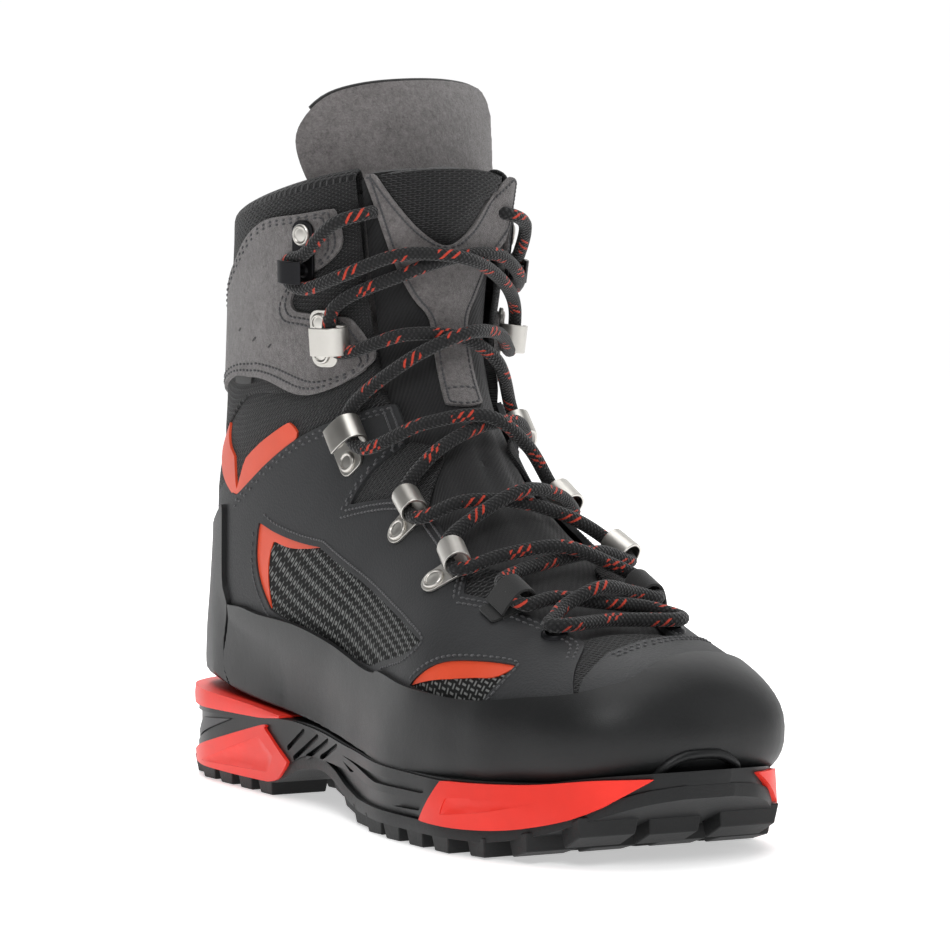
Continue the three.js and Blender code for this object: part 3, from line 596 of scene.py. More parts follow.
sides = {"lateral": 1, "medial": -1}


# seams: small raised stitches, gathered by the body that they ride on

stitch = {"long": 2.1, "wide": 0.95, "high": 0.8, "pitch": 2.8, "inset": 1.7, "rowGap": 2.0}
seams = {}


# rows of stitches to the left of a flat line, or to its right where the offset is negative
def sew(body, points, offset, height, surface=stripSurface, rows=1):
    for row in range(rows):
        shift = offset + (stitch["rowGap"] * row) * (1 if offset > 0 else -1)
        moved = []
        for i, p in enumerate(points):
            way = (points[min(i + 1, len(points) - 1)] - points[max(i - 1, 0)]).normalized()
            moved.append(p + Vector((-way.y, way.x, 0)) * shift)
        spots = evenly(moved, stitch["pitch"])
        for a, b in zip(spots, spots[1:]):
            middle = (a + b) / 2
            level = valueAt(height, middle.x, middle.y)
            centre = surface(middle.x, middle.y, level)
            along = (surface(b.x, b.y, level) - surface(a.x, a.y, level))
            out = (surface(middle.x, middle.y, level + 2) - centre)
            if along.length > 1e-6:
                seams.setdefault(body, []).append((centre, along.normalized(), out.normalized()))


def sewInside(body, points, inset, height, surface=stripSurface, rows=1):
    turned = sum(a.x * b.y - a.y * b.x for a, b in zip(points, points[1:] + points[:1]))
    sew(body, points + points[:1], inset if turned > 0 else -inset, height, surface, rows)


def makeSeams():
    bead = bmesh.new()
    bmesh.ops.create_icosphere(bead, subdivisions=1, radius=0.5)
    knots = [v.co.copy() for v in bead.verts]
    faces = [[v.index for v in f.verts] for f in bead.faces]
    bead.free()
    size = Vector((stitch["long"], stitch["wide"], stitch["high"])) * mm
    for body, spots in seams.items():
        bm = bmesh.new()
        for centre, along, out in spots:
            turn = Matrix((along, out.cross(along).normalized(), out)).transposed()
            made = [bm.verts.new(centre + turn @ (k * size)) for k in knots]
            for face in faces:
                bm.faces.new([made[i] for i in face])
        settle(newPiece(f"stitching_{body}_thread", bm, "thread"), body)
    print("stitches", sum(len(spots) for spots in seams.values()))


# the upper: what each panel's edges follow

upper = {"leather": 1.7, "leatherHigh": 0.5, "rand": 1.9, "randHigh": 2.3, "heelHigh": 2.3, "window": 1.0,
         "windowHigh": -0.55, "cuff": 1.2, "cuffHigh": 2.1, "bandBulge": 1.6}
throatLow = [(0.165, 30), (0.2, 19), (0.235, 17.5), (0.27, 19), (0.33, 25)]
notchLow = [(0.37, 31), (0.405, 38)]
notchRise = [(0.425, 34), (0.438, 30)]
throatHigh = [(0.47, 32), (0.53, 34.5), (0.585, 37)]
notchHigh = [(0.62, 47), (0.657, 61)]
notchBack = [(0.668, 47), (0.667, 33)]
throatTop = [(0.69, 31), (0.72, 31)]
topEdge = [(0.735, 41), (0.753, 53), (0.778, 71), (0.79, 87), (0.80, 104)]
backRise = [(0.822, 112), (0.848, 119)]
backEdge = [(0.846, 140), (0.836, 180)]
windowLoop = [[(0.71, 86), (0.656, 77.5)], [(0.60, 75), (0.50, 70), (0.411, 66)], [(0.45, 78), (0.516, 90)],
              [(0.60, 98), (0.676, 102)], [(0.715, 97), (0.748, 91)]]
frontWindowLoop = [[(0.36, 68), (0.30, 56), (0.262, 50)], [(0.232, 47)], [(0.236, 60), (0.247, 72)],
                   [(0.33, 80), (0.409, 84)]]
randTop = [(0.70, 108), (0.638, 99), (0.53, 92), (0.421, 85), (0.34, 80), (0.252, 73), (0.17, 66), (0.102, 57),
           (0.066, 33)]
randTopInner = [(0.17, -48), (0.22, -62), (0.30, -74), (0.421, -85), (0.53, -92), (0.638, -99), (0.70, -108),
                (0.726, -115)]


def makeQuarter(name, side):
    outline = loop([throatLow, notchLow, notchRise, throatHigh, notchHigh, notchBack, throatTop, topEdge, backRise,
                    backEdge, [(0.79, 180)], [(0.72, 128), (0.66, 112), (0.52, 103), (0.42, 95), (0.3, 86), (0.2, 78),
                                              (0.1, 72)], [(0.102, 58), (0.165, 30)]], side)
    windows = [loop(windowLoop, side), loop(frontWindowLoop, side)]
    quarter = cutPanel(f"quarter_{name}_leather", [outline] + windows, upper["leatherHigh"], upper["leather"],
                       "leather", edge=0.45)
    settle(quarter, "foot", f"quarter_{name}", slot="leather")
    for key, shape, node in (("side", windowLoop, "side_window"), ("front", frontWindowLoop, "forefoot_window")):
        wide = loop(shape, side)
        centre = sum(wide, Vector((0, 0, 0))) / len(wide)
        wide = [p + (p - centre).normalized() * 2.5 for p in wide]
        settle(cutPanel(f"{key}_window_{name}_weave", [wide], upper["windowHigh"], upper["window"], "weave"),
               "foot", f"{node}_{name}", slot="weave")
    red = [loop([[(0.715, 97), (0.748, 91)], [(0.71, 86), (0.656, 77.5)], [(0.69, 85.5), (0.716, 89.5)],
                 [(0.705, 94), (0.676, 102)]], side),
           loop([[(0.36, 68), (0.30, 56), (0.262, 50)], [(0.232, 47)], [(0.25, 57), (0.29, 64), (0.33, 71)],
                 [(0.409, 84)]], side)]
    for k, shape in enumerate(red):
        settle(cutPanel(f"window_trim_{k + 1}_{name}", [shape], upper["windowHigh"] + 0.35, 0.5, "redFilm",
                        edge=0.1), "foot", slot="red_trim")
    for notch, shape in (("low", [notchLow, notchRise, [(0.40, 20), (0.33, 25)]]),
                         ("high", [notchHigh, notchBack, [(0.63, 24), (0.585, 37)]])):
        wide = loop([[shape[-1][-1]] + shape[0]] + shape[1:], side)
        centre = sum(wide, Vector((0, 0, 0))) / len(wide)
        wide = [p + (p - centre).normalized() * 3 for p in wide]
        settle(cutPanel(f"throat_mesh_{notch}_{name}", [wide], -0.7, 1.2, "tongueMesh"), "foot", slot="mesh")
    high = upper["leatherHigh"] + 0.05
    left = 1 if side > 0 else -1
    for stretch in (throatLow, [throatLow[-1]] + notchLow, [notchLow[-1]] + notchRise,
                    [notchRise[-1]] + throatHigh, [throatHigh[-1]] + notchHigh, [notchHigh[-1]] + notchBack,
                    [notchBack[-1]] + throatTop, [throatTop[-1]] + topEdge):
        sew("foot", line(stretch, side), -left * stitch["inset"], high, rows=2)
    for shape in (windowLoop, frontWindowLoop):
        sewInside("foot", loop(shape, side), -1.6, high)


toeLip = [(0.0625, 161), (0.03, 151), (0.015, 152), (0.011, 180), (0.015, -152), (0.03, -151), (0.0625, -161)]


def flared(surface):  # swells low down until it is flush with the edge of the sole, more so round the heel
    def moved(x, y, height):
        p = surface(x, y, height)
        spot = (p - place) / mm
        plan, rim = (outerPlan, rims[1][0]) if spot.x < 0 else (innerPlan, rims[-1][0])
        back = clipped((spot.y - 60) / 50)
        low = clipped((mix(55, 100, back) - spot.z) / mix(30, 62, back))
        swell = low * low * (3 - 2 * low) * clipped((spot.y + 110) / 50)
        if swell <= 0 or spot.y > 155.5 or abs(spot.x) > plan(spot.y):
            return p
        near = min(rim, key=lambda q: (q.x - spot.x) ** 2 + (q.y - spot.y) ** 2)
        gap = Vector((near.x - spot.x, near.y - spot.y, 0))
        spare = gap.length - mix(0.8, 2, back) - (upper["randHigh"] - height)
        swell *= clipped((18 - gap.length) / 7)
        return p + gap.normalized() * max(spare, 0) * swell * mm
    return moved


def makeUpper():
    for name, side in sides.items():
        makeQuarter(name, side)
    vamp = loop([[(0.2, 85), (0.1, 85)], [(0.05, 60), (0.035, 0), (0.05, -60), (0.1, -85)], [(0.2, -85)],
                 [(0.215, -40), (0.225, 0), (0.215, 40), (0.2, 85)]], flat=polar)
    settle(cutPanel("vamp_mesh", [vamp], -0.5, 1.6, "mesh", polarSurface), "foot", "vamp", slot="mesh")
    capTop = [(0.152, 19), (0.188, -5), (0.228, -27), (0.25, -38)]
    cap = loop([[(0.115, 44), (0.152, 19)], capTop[1:], [(0.245, -60), (0.22, -80)],
                [(0.1, -82), (0.045, -45), (0.035, 0), (0.045, 40), (0.09, 62)]], flat=polar)
    settle(cutPanel("toe_overlay", [cap], 1.0, 1.4, "leather", polarSurface), "foot", slot="leather")
    sew("foot", line(capTop, flat=polar), -1.8, 1.05, polarSurface, rows=2)
    rand = loop([randTop, [(0.088, 8), (0.118, -12), (0.142, -32)] + randTopInner,
                 [(0.70, -135), (0.658, -157)], [(0.6, -150), (0.4, -146), (0.2, -146), (0.1, -150)],
                 [(0.045, -168), (0.03, 180)], [(0.045, 168), (0.1, 150)],
                 [(0.2, 146), (0.4, 146), (0.6, 150), (0.658, 157)],
                 [(0.70, 135), (0.726, 115)]], flat=polar, spacing=3)
    settle(cutPanel("rand", [rand], upper["randHigh"], upper["rand"], "rubber", flared(polarSurface), edge=0.7),
           "foot", "rand_lateral", "rand_medial", "toe_rand", slot="rubber")
    heel = loop([[(0.74, 114), (0.808, 113)], [(0.814, 130), (0.824, 155), (0.83, 180), (0.824, 205), (0.814, 230),
                                               (0.808, 247)],
                 [(0.74, 246), (0.726, 245)], [(0.70, 225), (0.655, 202)], [(0.69, 188), (0.705, 180), (0.69, 172),
                                                                           (0.655, 158)],
                 [(0.70, 135), (0.726, 115)]])
    settle(cutPanel("heel_cup", [heel], upper["heelHigh"], 2.2, "rubber", flared(stripSurface), edge=0.6), "foot",
           "heel_rand",
           slot="rubber")
    print("upper made")


quarterTopAt = smoothThrough([(30, 0.72), (53, 0.753), (71, 0.778), (104, 0.80), (180, 0.836)])
shaftBaseAt = smoothThrough([(30, 0.785), (60, 0.808), (75, 0.83), (99, 0.866), (180, 0.872)])
shaftFrontAt = smoothThrough([(0.76, 35), (0.9, 38), (1.0, 42)])
cuffLow = [(0.788, 37), (0.788, 49), (0.810, 66), (0.860, 85), (0.888, 103), (0.90, 125), (0.905, 152)]
cuffTop = [(0.953, 138), (0.962, 118), (0.968, 107), (0.979, 95), (0.983, 83), (0.977, 66), (0.973, 50)]
cuffNotch = [(0.948, 47), (0.932, 47.5), (0.922, 54), (0.920, 63), (0.911, 70), (0.897, 69), (0.885, 62),
             (0.870, 54), (0.858, 46), (0.838, 41.5), (0.800, 35.5)]


def foldBack(angle):  # how far an angle is from the front, whichever way round
    return abs((angle + 180) % 360 - 180)


def makeShaft():
    def bandHeight(x, y):
        s, angle = placeOf(y), foldBack(x / degreeWidth)
        low, high = quarterTopAt(angle), shaftBaseAt(angle)
        t = clipped((s - low) / (high - low))
        return -0.9 + upper["bandBulge"] * sin(pi * t) ** 0.8
    low = [(quarterTopAt(foldBack(a)) - 0.02, a) for a in range(34, 327, 12)]
    high = [(shaftBaseAt(foldBack(a)) + 0.015, a) for a in range(326, 33, -12)]
    band = cutPanel("ankle_band_mesh", [loop([low, high[:1], high[1:], low[:1]])], bandHeight, 3.5, "mesh")
    settle(band, "flex", "ankle_band", slot="mesh")
    for name, side in sides.items():
        accent = loop([[(0.779, 71), (0.79, 86), (0.80, 105)], [(0.826, 113), (0.856, 120)], [(0.868, 114.5)],
                       [(0.845, 108), (0.8275, 102.5)], [(0.803, 103.8)], [(0.8145, 95.5)],
                       [(0.809, 86), (0.799, 73)]], side)
        settle(cutPanel(f"ankle_accent_{name}_film", [accent], lambda x, y: bandHeight(x, y) + 0.9, 0.9, "redFilm",
                        edge=0.3), "flex", f"ankle_accent_{name}", slot="red_trim")
    profile = [(None, -1.0), (None, 0.3)] + [(mix(0.1, 0.93, i / 9), 0.55 + 0.5 * sin(i * 0.5)) for i in range(10)]
    profile += [(0.985, 0.3), (1.0, -0.7), (1.0, -2.6), (1.0, -5), (1.0, -7), (0.975, -8.6), (0.9, -9)]
    lift = [0] * (len(profile) - 7) + [0.3, 1.1, 2.3, 2.6, 1.7, 0.2, 0]
    count = 96
    bm = bmesh.new()
    bmesh.ops.create_grid(bm, x_segments=count, y_segments=len(profile) - 1, size=0.5)
    uv = bm.loops.layers.uv.new("pattern")
    placed = {}
    for vert in bm.verts:
        i, j = round((vert.co.x + 0.5) * count), round((vert.co.y + 0.5) * (len(profile) - 1))
        t, height = profile[j]
        middle = mix(36, 324, i / count)
        base = shaftBaseAt(foldBack(middle))
        s = base if t is None else placeOf(mix(travelOf(base), travelOf(1), t))
        front = shaftFrontAt(s)
        angle = mix(front, 360 - front, i / count)
        placed[vert] = Vector((angle * degreeWidth, travelOf(s) - (j - 12 if j > 12 else 0) * 2.5))
        vert.co = above(s, angle, height) + Vector((0, 0, lift[j] * mm))
    for face in bm.faces:
        for corner in face.loops:
            corner[uv].uv = placed[corner.vert]
    bm.normal_update()
    probe = next(f for f in bm.faces)
    if probe.normal.dot(probe.calc_center_median() - Vector((0, 0.06, 0.15))) < 0:
        bmesh.ops.reverse_faces(bm, faces=bm.faces[:])
    shell = thickened(newPiece("shaft_shell_mesh", bm, "mesh"), 1.6)
    soft = shell.modifiers.new("soft", "SUBSURF")
    soft.levels = soft.render_levels = 1
    settle(shell, "shaft", "shaft_shell", slot="mesh")
    for name, side in sides.items():
        outline = loop([cuffLow, [(0.93, 153), (0.95, 150)], cuffTop, cuffNotch], side)
        settle(cutPanel(f"cuff_{name}_suede", [outline], upper["cuffHigh"], 1.3, "suede", edge=0.35), "shaft",
               f"cuff_{name}", slot="suede")
        sewInside("shaft", outline, 1.9, upper["cuffHigh"] + 0.05, rows=2)
    for s, angle in ((0.918, 100.7), (0.9, 90.5), (0.883, 81.6)):
        for side in sides.values():
            dot = [strip(s, side * angle) + Vector((cos(k * pi / 6), sin(k * pi / 6), 0)) * 0.75 for k in range(12)]
            settle(cutPanel(f"pin_hole_{round(angle)}_{'lateral' if side > 0 else 'medial'}", [dot],
                            upper["cuffHigh"] + 0.06, 0.1, "binding", edge=0.02, cell=2), "shaft", slot="lining")
    tag = loop([[(0.902, 104), (0.886, 92)], [(0.868, 92)], [(0.884, 104)]])
    settle(cutPanel("blank_tag", [tag], 1.9, 0.8, "binding", edge=0.15), "shaft", slot="lining")
    liningLoop = loop([[(0.88, a) for a in range(42, 321, 20)], [(0.88, 318), (0.985, 318)],
                       [(0.985, a) for a in range(300, 43, -20)] + [(0.985, 42)], [(0.88, 42)]])
    lining = cutPanel("shaft_lining_soft", [liningLoop], lambda x, y: -8.2, 1.2, "lining")
    settle(lining, "shaft", "shaft_lining", slot="lining")
    print("shaft made")


# tongues

tongue = {"high": -2.7, "thickness": 4.4, "crease": 1.5, "overlay": 1.3, "overlayHigh": -1.1, "armRise": 3.6,
          "pad": 3.4, "padHigh": -2.6, "padCrown": 3.4}


def makeTongues():
    def tongueHeight(x, y):
        s, angle = placeOf(y), x / degreeWidth
        soft = max(0, 1 - abs(s - 0.62) / 0.24)
        crease = abs(sin(radians(angle * 10.5 + 14 * sin(s * 31)))) ** 0.6 - 0.75
        return tongue["high"] + soft * tongue["crease"] * crease + 0.15 * sin(s * 70 + angle * 0.2)
    body = loop([[(0.19, -30), (0.185, 0), (0.19, 30)], [(0.4, 37), (0.6, 37.5), (0.8, 36), (0.9, 37), (0.99, 40)],
                 [(1.0, 36), (1.0, 0), (1.0, -36), (0.99, -40)], [(0.9, -37), (0.8, -36), (0.6, -37.5), (0.4, -37),
                                                                 (0.19, -30)]])
    fabric = cutPanel("tongue_body", [body], tongueHeight, tongue["thickness"], "stretch", edge=1.2, cell=2.2)
    settle(fabric, "flex", "tongue", slot="mesh")
    left = [(0.968, 34.5), (0.908, 27), (0.85, 19), (0.822, 12.5), (0.80, 10.5), (0.75, 10.5), (0.695, 11)]
    right = [(0.695, -11), (0.75, -10.5), (0.80, -10.5), (0.822, -12.5), (0.85, -19), (0.905, -31), (0.965, -46)]
    vee = [(0.966, -25), (0.934, -15), (0.914, -6), (0.908, 0), (0.914, 6), (0.934, 15), (0.966, 25), (1.0, 34)]
    yoke = loop([left, [(0.688, 0), (0.695, -11)], right[1:] + [(1.0, -50)], [(1.0, -38)], vee, [(1.0, 39)]])

    def yokeHeight(x, y):  # its inner arm lies over the collar's edge
        over = clipped((-x / degreeWidth - 29) / 9) * clipped((placeOf(y) - 0.87) / 0.05)
        return tongue["overlayHigh"] + tongue["armRise"] * over
    settle(cutPanel("tongue_overlay_suede", [yoke], yokeHeight, tongue["overlay"], "suede", edge=0.35, cell=3),
           "flex", "tongue_overlay", slot="suede")
    sewInside("flex", yoke, 1.7, lambda x, y: yokeHeight(x, y) + 0.05)
    sew("flex", line([(0.715, 9), (0.715, -9)]), 0.5, tongue["overlayHigh"] + 0.05)

    def padHeight(x, y):
        inside = placeOf(y) > edgeAt(abs(x / degreeWidth))
        crown = min(rimDistance(x, y, border) / 9, 1) ** 0.6 if inside else 0
        return tongue["padHigh"] + tongue["padCrown"] * crown
    border = line(vee[::-1])
    edgeAt = smoothThrough([(0, 0.908), (6, 0.914), (15, 0.934), (25, 0.966), (34, 1.0), (60, 1.2)])
    pad = loop([[(0.963, -26), (0.93, -17), (0.908, -6), (0.903, 0), (0.908, 6), (0.93, 17), (0.963, 26),
                 (0.996, 35)],
                [(0.999, 20), (1.0, 0), (0.999, -20), (0.996, -35)]])
    soft = cutPanel("tongue_pad_mesh", [pad], padHeight, tongue["pad"], "tongueMesh", edge=1.2, cell=2.2)
    settle(soft, "shaft", "tongue_pad", slot="mesh")


flap = {"high": 2.0, "crown": 0.9, "thickness": 4.6, "binding": 1.5}
flapY = smoothThrough([(138, 25), (170, 30), (200, 36.5), (228, 44), (250, 50)])


def flapSurface(x, z, height):
    def middle(x, z):
        return Vector((x, flapY(z) + x * x / 110, z - x * x / (420 if x < 0 else 1600)))
    lean = (middle(x, z + 1) - middle(x, z - 1)).normalized()
    across = (middle(x + 0.5, z) - middle(x - 0.5, z)).normalized()
    ripple = 0.5 * sin(x * 0.11 + z * 0.05) + 0.35 * sin(z * 0.17 - x * 0.04)
    return (middle(x, z) + across.cross(lean) * (height + ripple)) * mm + place


def makeFlap():
    side = [(19, 157), (22, 170), (33, 200), (41, 214), (45, 227), (46, 236), (44, 242), (39, 245.5),
            (24, 246.5), (2, 246), (-14, 244.5), (-24, 241.5), (-31, 235), (-34, 227), (-32, 214), (-26, 200),
            (-20, 170), (-18, 157)]
    points = evenly(curveThrough([Vector((x, z, 0)) for x, z in side]), 2.5)
    middle = sum(points, Vector((0, 0, 0))) / len(points)

    def flapHeight(x, y):  # crowned, and drawn in along its edge
        rim = min((Vector((x, y, 0)) - p).length for p in points) if y > 150 else 4
        return flap["high"] + flap["crown"] * min(rim / 9, 1) ** 0.5
    suede = cutPanel("inner_tongue_suede", [points], flapHeight, flap["thickness"], "suede", flapSurface, edge=1.1)
    settle(suede, "inner_tongue", "inner_tongue", slot="suede")
    rim = [p for p in points if p.y > 237]
    route = [flapSurface(*(middle + (p - middle) * 1.004).xy, -0.7) for p in rim]
    settle(tube("inner_tongue_edge", route, flap["binding"], "binding", 8), "inner_tongue", "inner_tongue_binding",
           slot="mesh")


# cords and small hardware

def tube(name, route, radius, finish, sides=12):  # radius in mm; UV in mm, along and round
    bm = bmesh.new()
    uv = bm.loops.layers.uv.new("pattern")
    rings, gone = [], 0.0
    side = None
    for i, p in enumerate(route):
        way = (route[min(i + 1, len(route) - 1)] - route[max(i - 1, 0)]).normalized()
        side = way.orthogonal() if side is None else side
        side = (side - way * side.dot(way)).normalized()
        up = way.cross(side)
        gone += (p - route[i - 1]).length / mm if i else 0
        ring = []
        for k in range(sides):
            turn = 2 * pi * k / sides
            ring.append(bm.verts.new(p + (side * cos(turn) + up * sin(turn)) * radius * mm))
        rings.append((ring, gone))
    for (a, at), (b, to) in zip(rings, rings[1:]):
        for k in range(sides):
            face = bm.faces.new((a[k], a[(k + 1) % sides], b[(k + 1) % sides], b[k]))
            for corner, (u, v) in zip(face.loops, ((at, k), (at, k + 1), (to, k + 1), (to, k))):
                corner[uv].uv = (u, v * 2 * pi * radius / sides)
    bm.faces.new(rings[0][0][::-1])
    bm.faces.new(rings[-1][0])
    bmesh.ops.recalc_face_normals(bm, faces=bm.faces[:])
    return newPiece(name, bm, finish)


class Fitting:  # metal parts drawn at a place on the boot: x away from the tongue, y up the boot, z outwards
    def __init__(self, s, angle, side, height):
        along, _, out = directions(s, side * angle)
        away = out.cross(along) * side
        self.matrix = Matrix.Translation(above(s, side * angle, height)) @ (
            Matrix((away, along, out)).transposed() * mm).to_4x4()
        self.matrix[3][3] = 1
        self.bm = bmesh.new()

    def place(self, bm, tint=0):
        for face in bm.faces:
            face.material_index = tint
        bmesh.ops.recalc_face_normals(bm, faces=bm.faces[:])
        mesh = bpy.data.meshes.new("scrap")
        bm.to_mesh(mesh)
        bm.free()
        self.bm.from_mesh(mesh)
        bpy.data.meshes.remove(mesh)

    def plate(self, outline, low, thickness, tint=0):
        bm = bmesh.new()
        face = bm.faces.new([bm.verts.new((x, y, low)) for x, y in outline])
        made = bmesh.ops.extrude_face_region(bm, geom=[face])["geom"]
        bmesh.ops.translate(bm, verts=[v for v in made if isinstance(v, bmesh.types.BMVert)], vec=(0, 0, thickness))
        self.place(bm, tint)

    def strap(self, profile, y0, y1, thickness, tint=0):  # a bent strip: its profile in x and z
        bm = bmesh.new()
        points = evenly(curveThrough([Vector((x, 0, z)) for x, z in profile], 6), 0.9)
        inner = []
        for i, p in enumerate(points):
            way = (points[min(i + 1, len(points) - 1)] - points[max(i - 1, 0)]).normalized()
            inner.append(p + Vector((-way.z, 0, way.x)) * thickness)
        rings = [[bm.verts.new((q.x, y, q.z)) for q, y in ((a, y0), (a, y1), (b, y1), (b, y0))]
                 for a, b in zip(points, inner)]
        for a, b in zip(rings, rings[1:]):
            for k in range(4):
                bm.faces.new((a[k], a[(k + 1) % 4], b[(k + 1) % 4], b[k]))
        bm.faces.new(rings[0])
        bm.faces.new(rings[-1])
        self.place(bm, tint)

    def turned(self, x, y, profile, tint=0):  # a profile of radius and height spun round z
        bm = bmesh.new()
        points = [bm.verts.new((r, 0, z)) for r, z in profile]
        edges = [bm.edges.new(pair) for pair in zip(points, points[1:])]
        bmesh.ops.spin(bm, geom=points + edges, cent=(0, 0, 0), axis=(0, 0, 1), angle=2 * pi, steps=24,
                       use_merge=True)
        bmesh.ops.remove_doubles(bm, verts=bm.verts[:], dist=1e-3)
        bmesh.ops.translate(bm, verts=bm.verts[:], vec=(x, y, 0))
        self.place(bm, tint)

    def rivet(self, x, y, low, size=1.0, tint=0):
        self.turned(x, y, [(3.6 * size, low), (3.6 * size, low + 0.5), (3.2 * size, low + 1.0),
                           (2.6 * size, low + 1.1), (2.3 * size, low + 0.55), (1.6 * size, low + 0.6),
                           (0, low + 0.85)], tint)

    def finish(self, name, finish, second=None, edge=0.28):
        bmesh.ops.transform(self.bm, matrix=self.matrix, verts=self.bm.verts[:])
        bmesh.ops.recalc_face_normals(self.bm, faces=self.bm.faces[:])
        piece = newPiece(name, self.bm, finish)
        if second:
            piece.data.materials.append(finishes[second])
        return rounded(piece, edge, 2, 35)


def roundedBox(x0, x1, y0, y1, corner):
    points = []
    for cx, cy, start in ((x1 - corner, y1 - corner, 0), (x0 + corner, y1 - corner, 90),
                          (x0 + corner, y0 + corner, 180), (x1 - corner, y0 + corner, 270)):
        for k in range(5):
            turn = radians(start + 22.5 * k)
            points.append((cx + corner * cos(turn), cy + corner * sin(turn)))
    return points


def teardrop(x, radius, wideX, half):  # a round end at x, joined to a straight edge at wideX
    points = [(x + radius * cos(radians(a)), radius * sin(radians(a))) for a in range(-80, 81, 16)]
    return points + [(wideX, half), (wideX, -half)]


holders = [("eyelet", 0.252, 22.5, 0), ("loop", 0.342, 29, 0), ("pulley", 0.46, 42, 0), ("pulley", 0.578, 47, 0),
           ("saddle", 0.713, 52, 0), ("saddle", 0.848, 54, 2.1), ("hook", 0.938, 63, 2.1)]
holderReach = {"eyelet": 0, "loop": 4, "pulley": 6.5, "saddle": 6, "hook": 0}
metal = {"plate": 1.1, "outer": 3.9, "tubeLength": 9, "postPlace": -4.5, "clearance": 0.3}
laceSize = {"radius": 2.3, "spacing": 1.6, "agletLength": 14, "agletShare": 0.85}
plateTop = metal["clearance"] + metal["plate"]
tubeHeight = plateTop + metal["outer"] - metal["clearance"]


def makeHardware():
    for i, (kind, s, angle, base) in enumerate(holders):
        body = "shaft" if base else "foot"
        for name, side in sides.items():
            node = f"{kind}_{i + 1}_{name}"
            raised = base + (upper["leatherHigh"] if not base else 0)
            part = Fitting(s, angle, side, raised)
            if kind == "eyelet":
                part.turned(0, 0, [(2.5, -0.6), (2.6, 0.9), (3.0, 1.35), (3.7, 1.3), (4.3, 0.6), (4.4, 0)])
                settle(part.finish(f"{node}_ring", "blackMetal"), body, node, slot="black_metal")
            elif kind == "loop":
                part.plate(roundedBox(-3, 7, -4.5, 4.5, 1.5), 0.1, 0.9)
                part.strap([(3, 0.9), (-2, 0.5), (-6.4, 0.9), (-8.6, 3.4), (-7.4, 6.6), (-4, 7.3), (-0.5, 5.2),
                            (3, 1.6)], -5, 5, 0.9)
                settle(part.finish(f"{node}_webbing", "binding"), body, node, slot="mesh")
            elif kind == "pulley":
                part.plate(teardrop(3.6, 4.6, -5.5, 5.2), 0.1, metal["plate"])
                part.rivet(3.4, 0, 1.1, 1.08, 1)
                part.strap([(-3.4, 1.0), (-6.5, 0.9), (-9.6, 2.6), (-10.2, 5.6), (-8.6, 8.2), (-5.4, 8.6),
                            (-3.2, 6.6), (-2.9, 3.8), (-3.2, 1.4)], -5, 5, 0.9)
                settle(part.finish(f"{node}_plate", "nickel", "nickel"), body, node, slot="steel")
            elif kind == "saddle":
                part.plate(roundedBox(-4.4, 6.6, -9.8, 9.8, 3.6), 0.1, metal["plate"])
                for y in (-5.2, 5.2):
                    part.rivet(2.2, y, 1.1, 1.0, 1)
                part.strap([(-2, 1.0), (-6.2, 0.95), (-9.4, 2.4), (-10.2, 5.2), (-8.8, 8.0), (-5.8, 8.9), (-1.5, 8.9),
                            (0.6, 8.6)], -4.8, 4.8, 1.0)
                settle(part.finish(f"{node}_plate", "nickel", "nickel"), body, node, slot="steel")
            else:
                part.plate(roundedBox(-4.6, 4.8, -9.5, 12.5, 3.8), 0.1, metal["plate"])
                part.rivet(0.4, 7.6, 1.1, 1.05, 1)
                y = metal["postPlace"]
                part.turned(0, y, [(2.6, 1.0), (1.75, 2.0), (1.6, 4.5), (1.9, 6.8), (0, 7.0)])
                part.strap([(-3.6, 6.2), (-2.6, 6.9), (0, 7.3), (3.2, 7.3), (5.6, 6.4)], y - 3.9, y + 3.9, 1.1)
                settle(part.finish(f"{node}_arm", "blackMetal", "nickel"), body, node, slot="black_metal")
    print("hardware made")


# the lace, by the same points as in the CAD model

def onHolder(i, side):
    kind, s, angle, base = holders[i]

    def local(atAngle, height, points):
        frameAt = Fitting(s, atAngle, side, height)
        frameAt.bm.free()
        return [frameAt.matrix @ Vector(p) for p in points]
    if kind == "eyelet":
        return local(angle, 2.1 + laceSize["radius"], [(-2.5, -3.3, 0), (2, 0, 0.2), (-2.5, 3.3, 0)])
    if kind == "hook":
        y = metal["postPlace"]
        return local(angle, base + plateTop + 0.5 + laceSize["radius"],
                     [(-2.4, y - 5.6, 0), (3.8, y - 3.6, 0), (5.4, y, 0), (3.8, y + 3.6, 0), (-2.4, y + 5.6, 0)])
    end = metal["tubeLength"] / 2 + 2.4
    return local(angle - holderReach[kind], base + tubeHeight, [(0, -end, 0), (0, end, 0)])


def acrossTongue(i, side):
    over = (side > 0) == (i % 2 == 0)
    s0, s1 = holders[i][1], holders[i + 1][1]
    spread = 0.6 * min(holders[i][2], 36)
    return [above(mix(s0, s1, 0.36), side * spread, 5 if over else 3.5),
            above(mix(s0, s1, 0.5), 0, 8.6 if over else 3.3),
            above(mix(s0, s1, 0.64), -side * spread, 5.4 if over else 4.8)]


def laceHalf(side):
    points, now = onHolder(0, side), side
    for i in range(len(holders) - 1):
        points += acrossTongue(i, now)
        now = -now
        if holders[i + 1][0] == "hook":
            points.append(above(0.903, now * 44, 7))
        points += onHolder(i + 1, now)
    return points + [above(0.958, now * 47, 7), above(0.96, now * 37, 3), above(0.957, now * 34, -5),
                     above(0.932, now * 28, -12.4), above(0.86, now * 18, -11)]


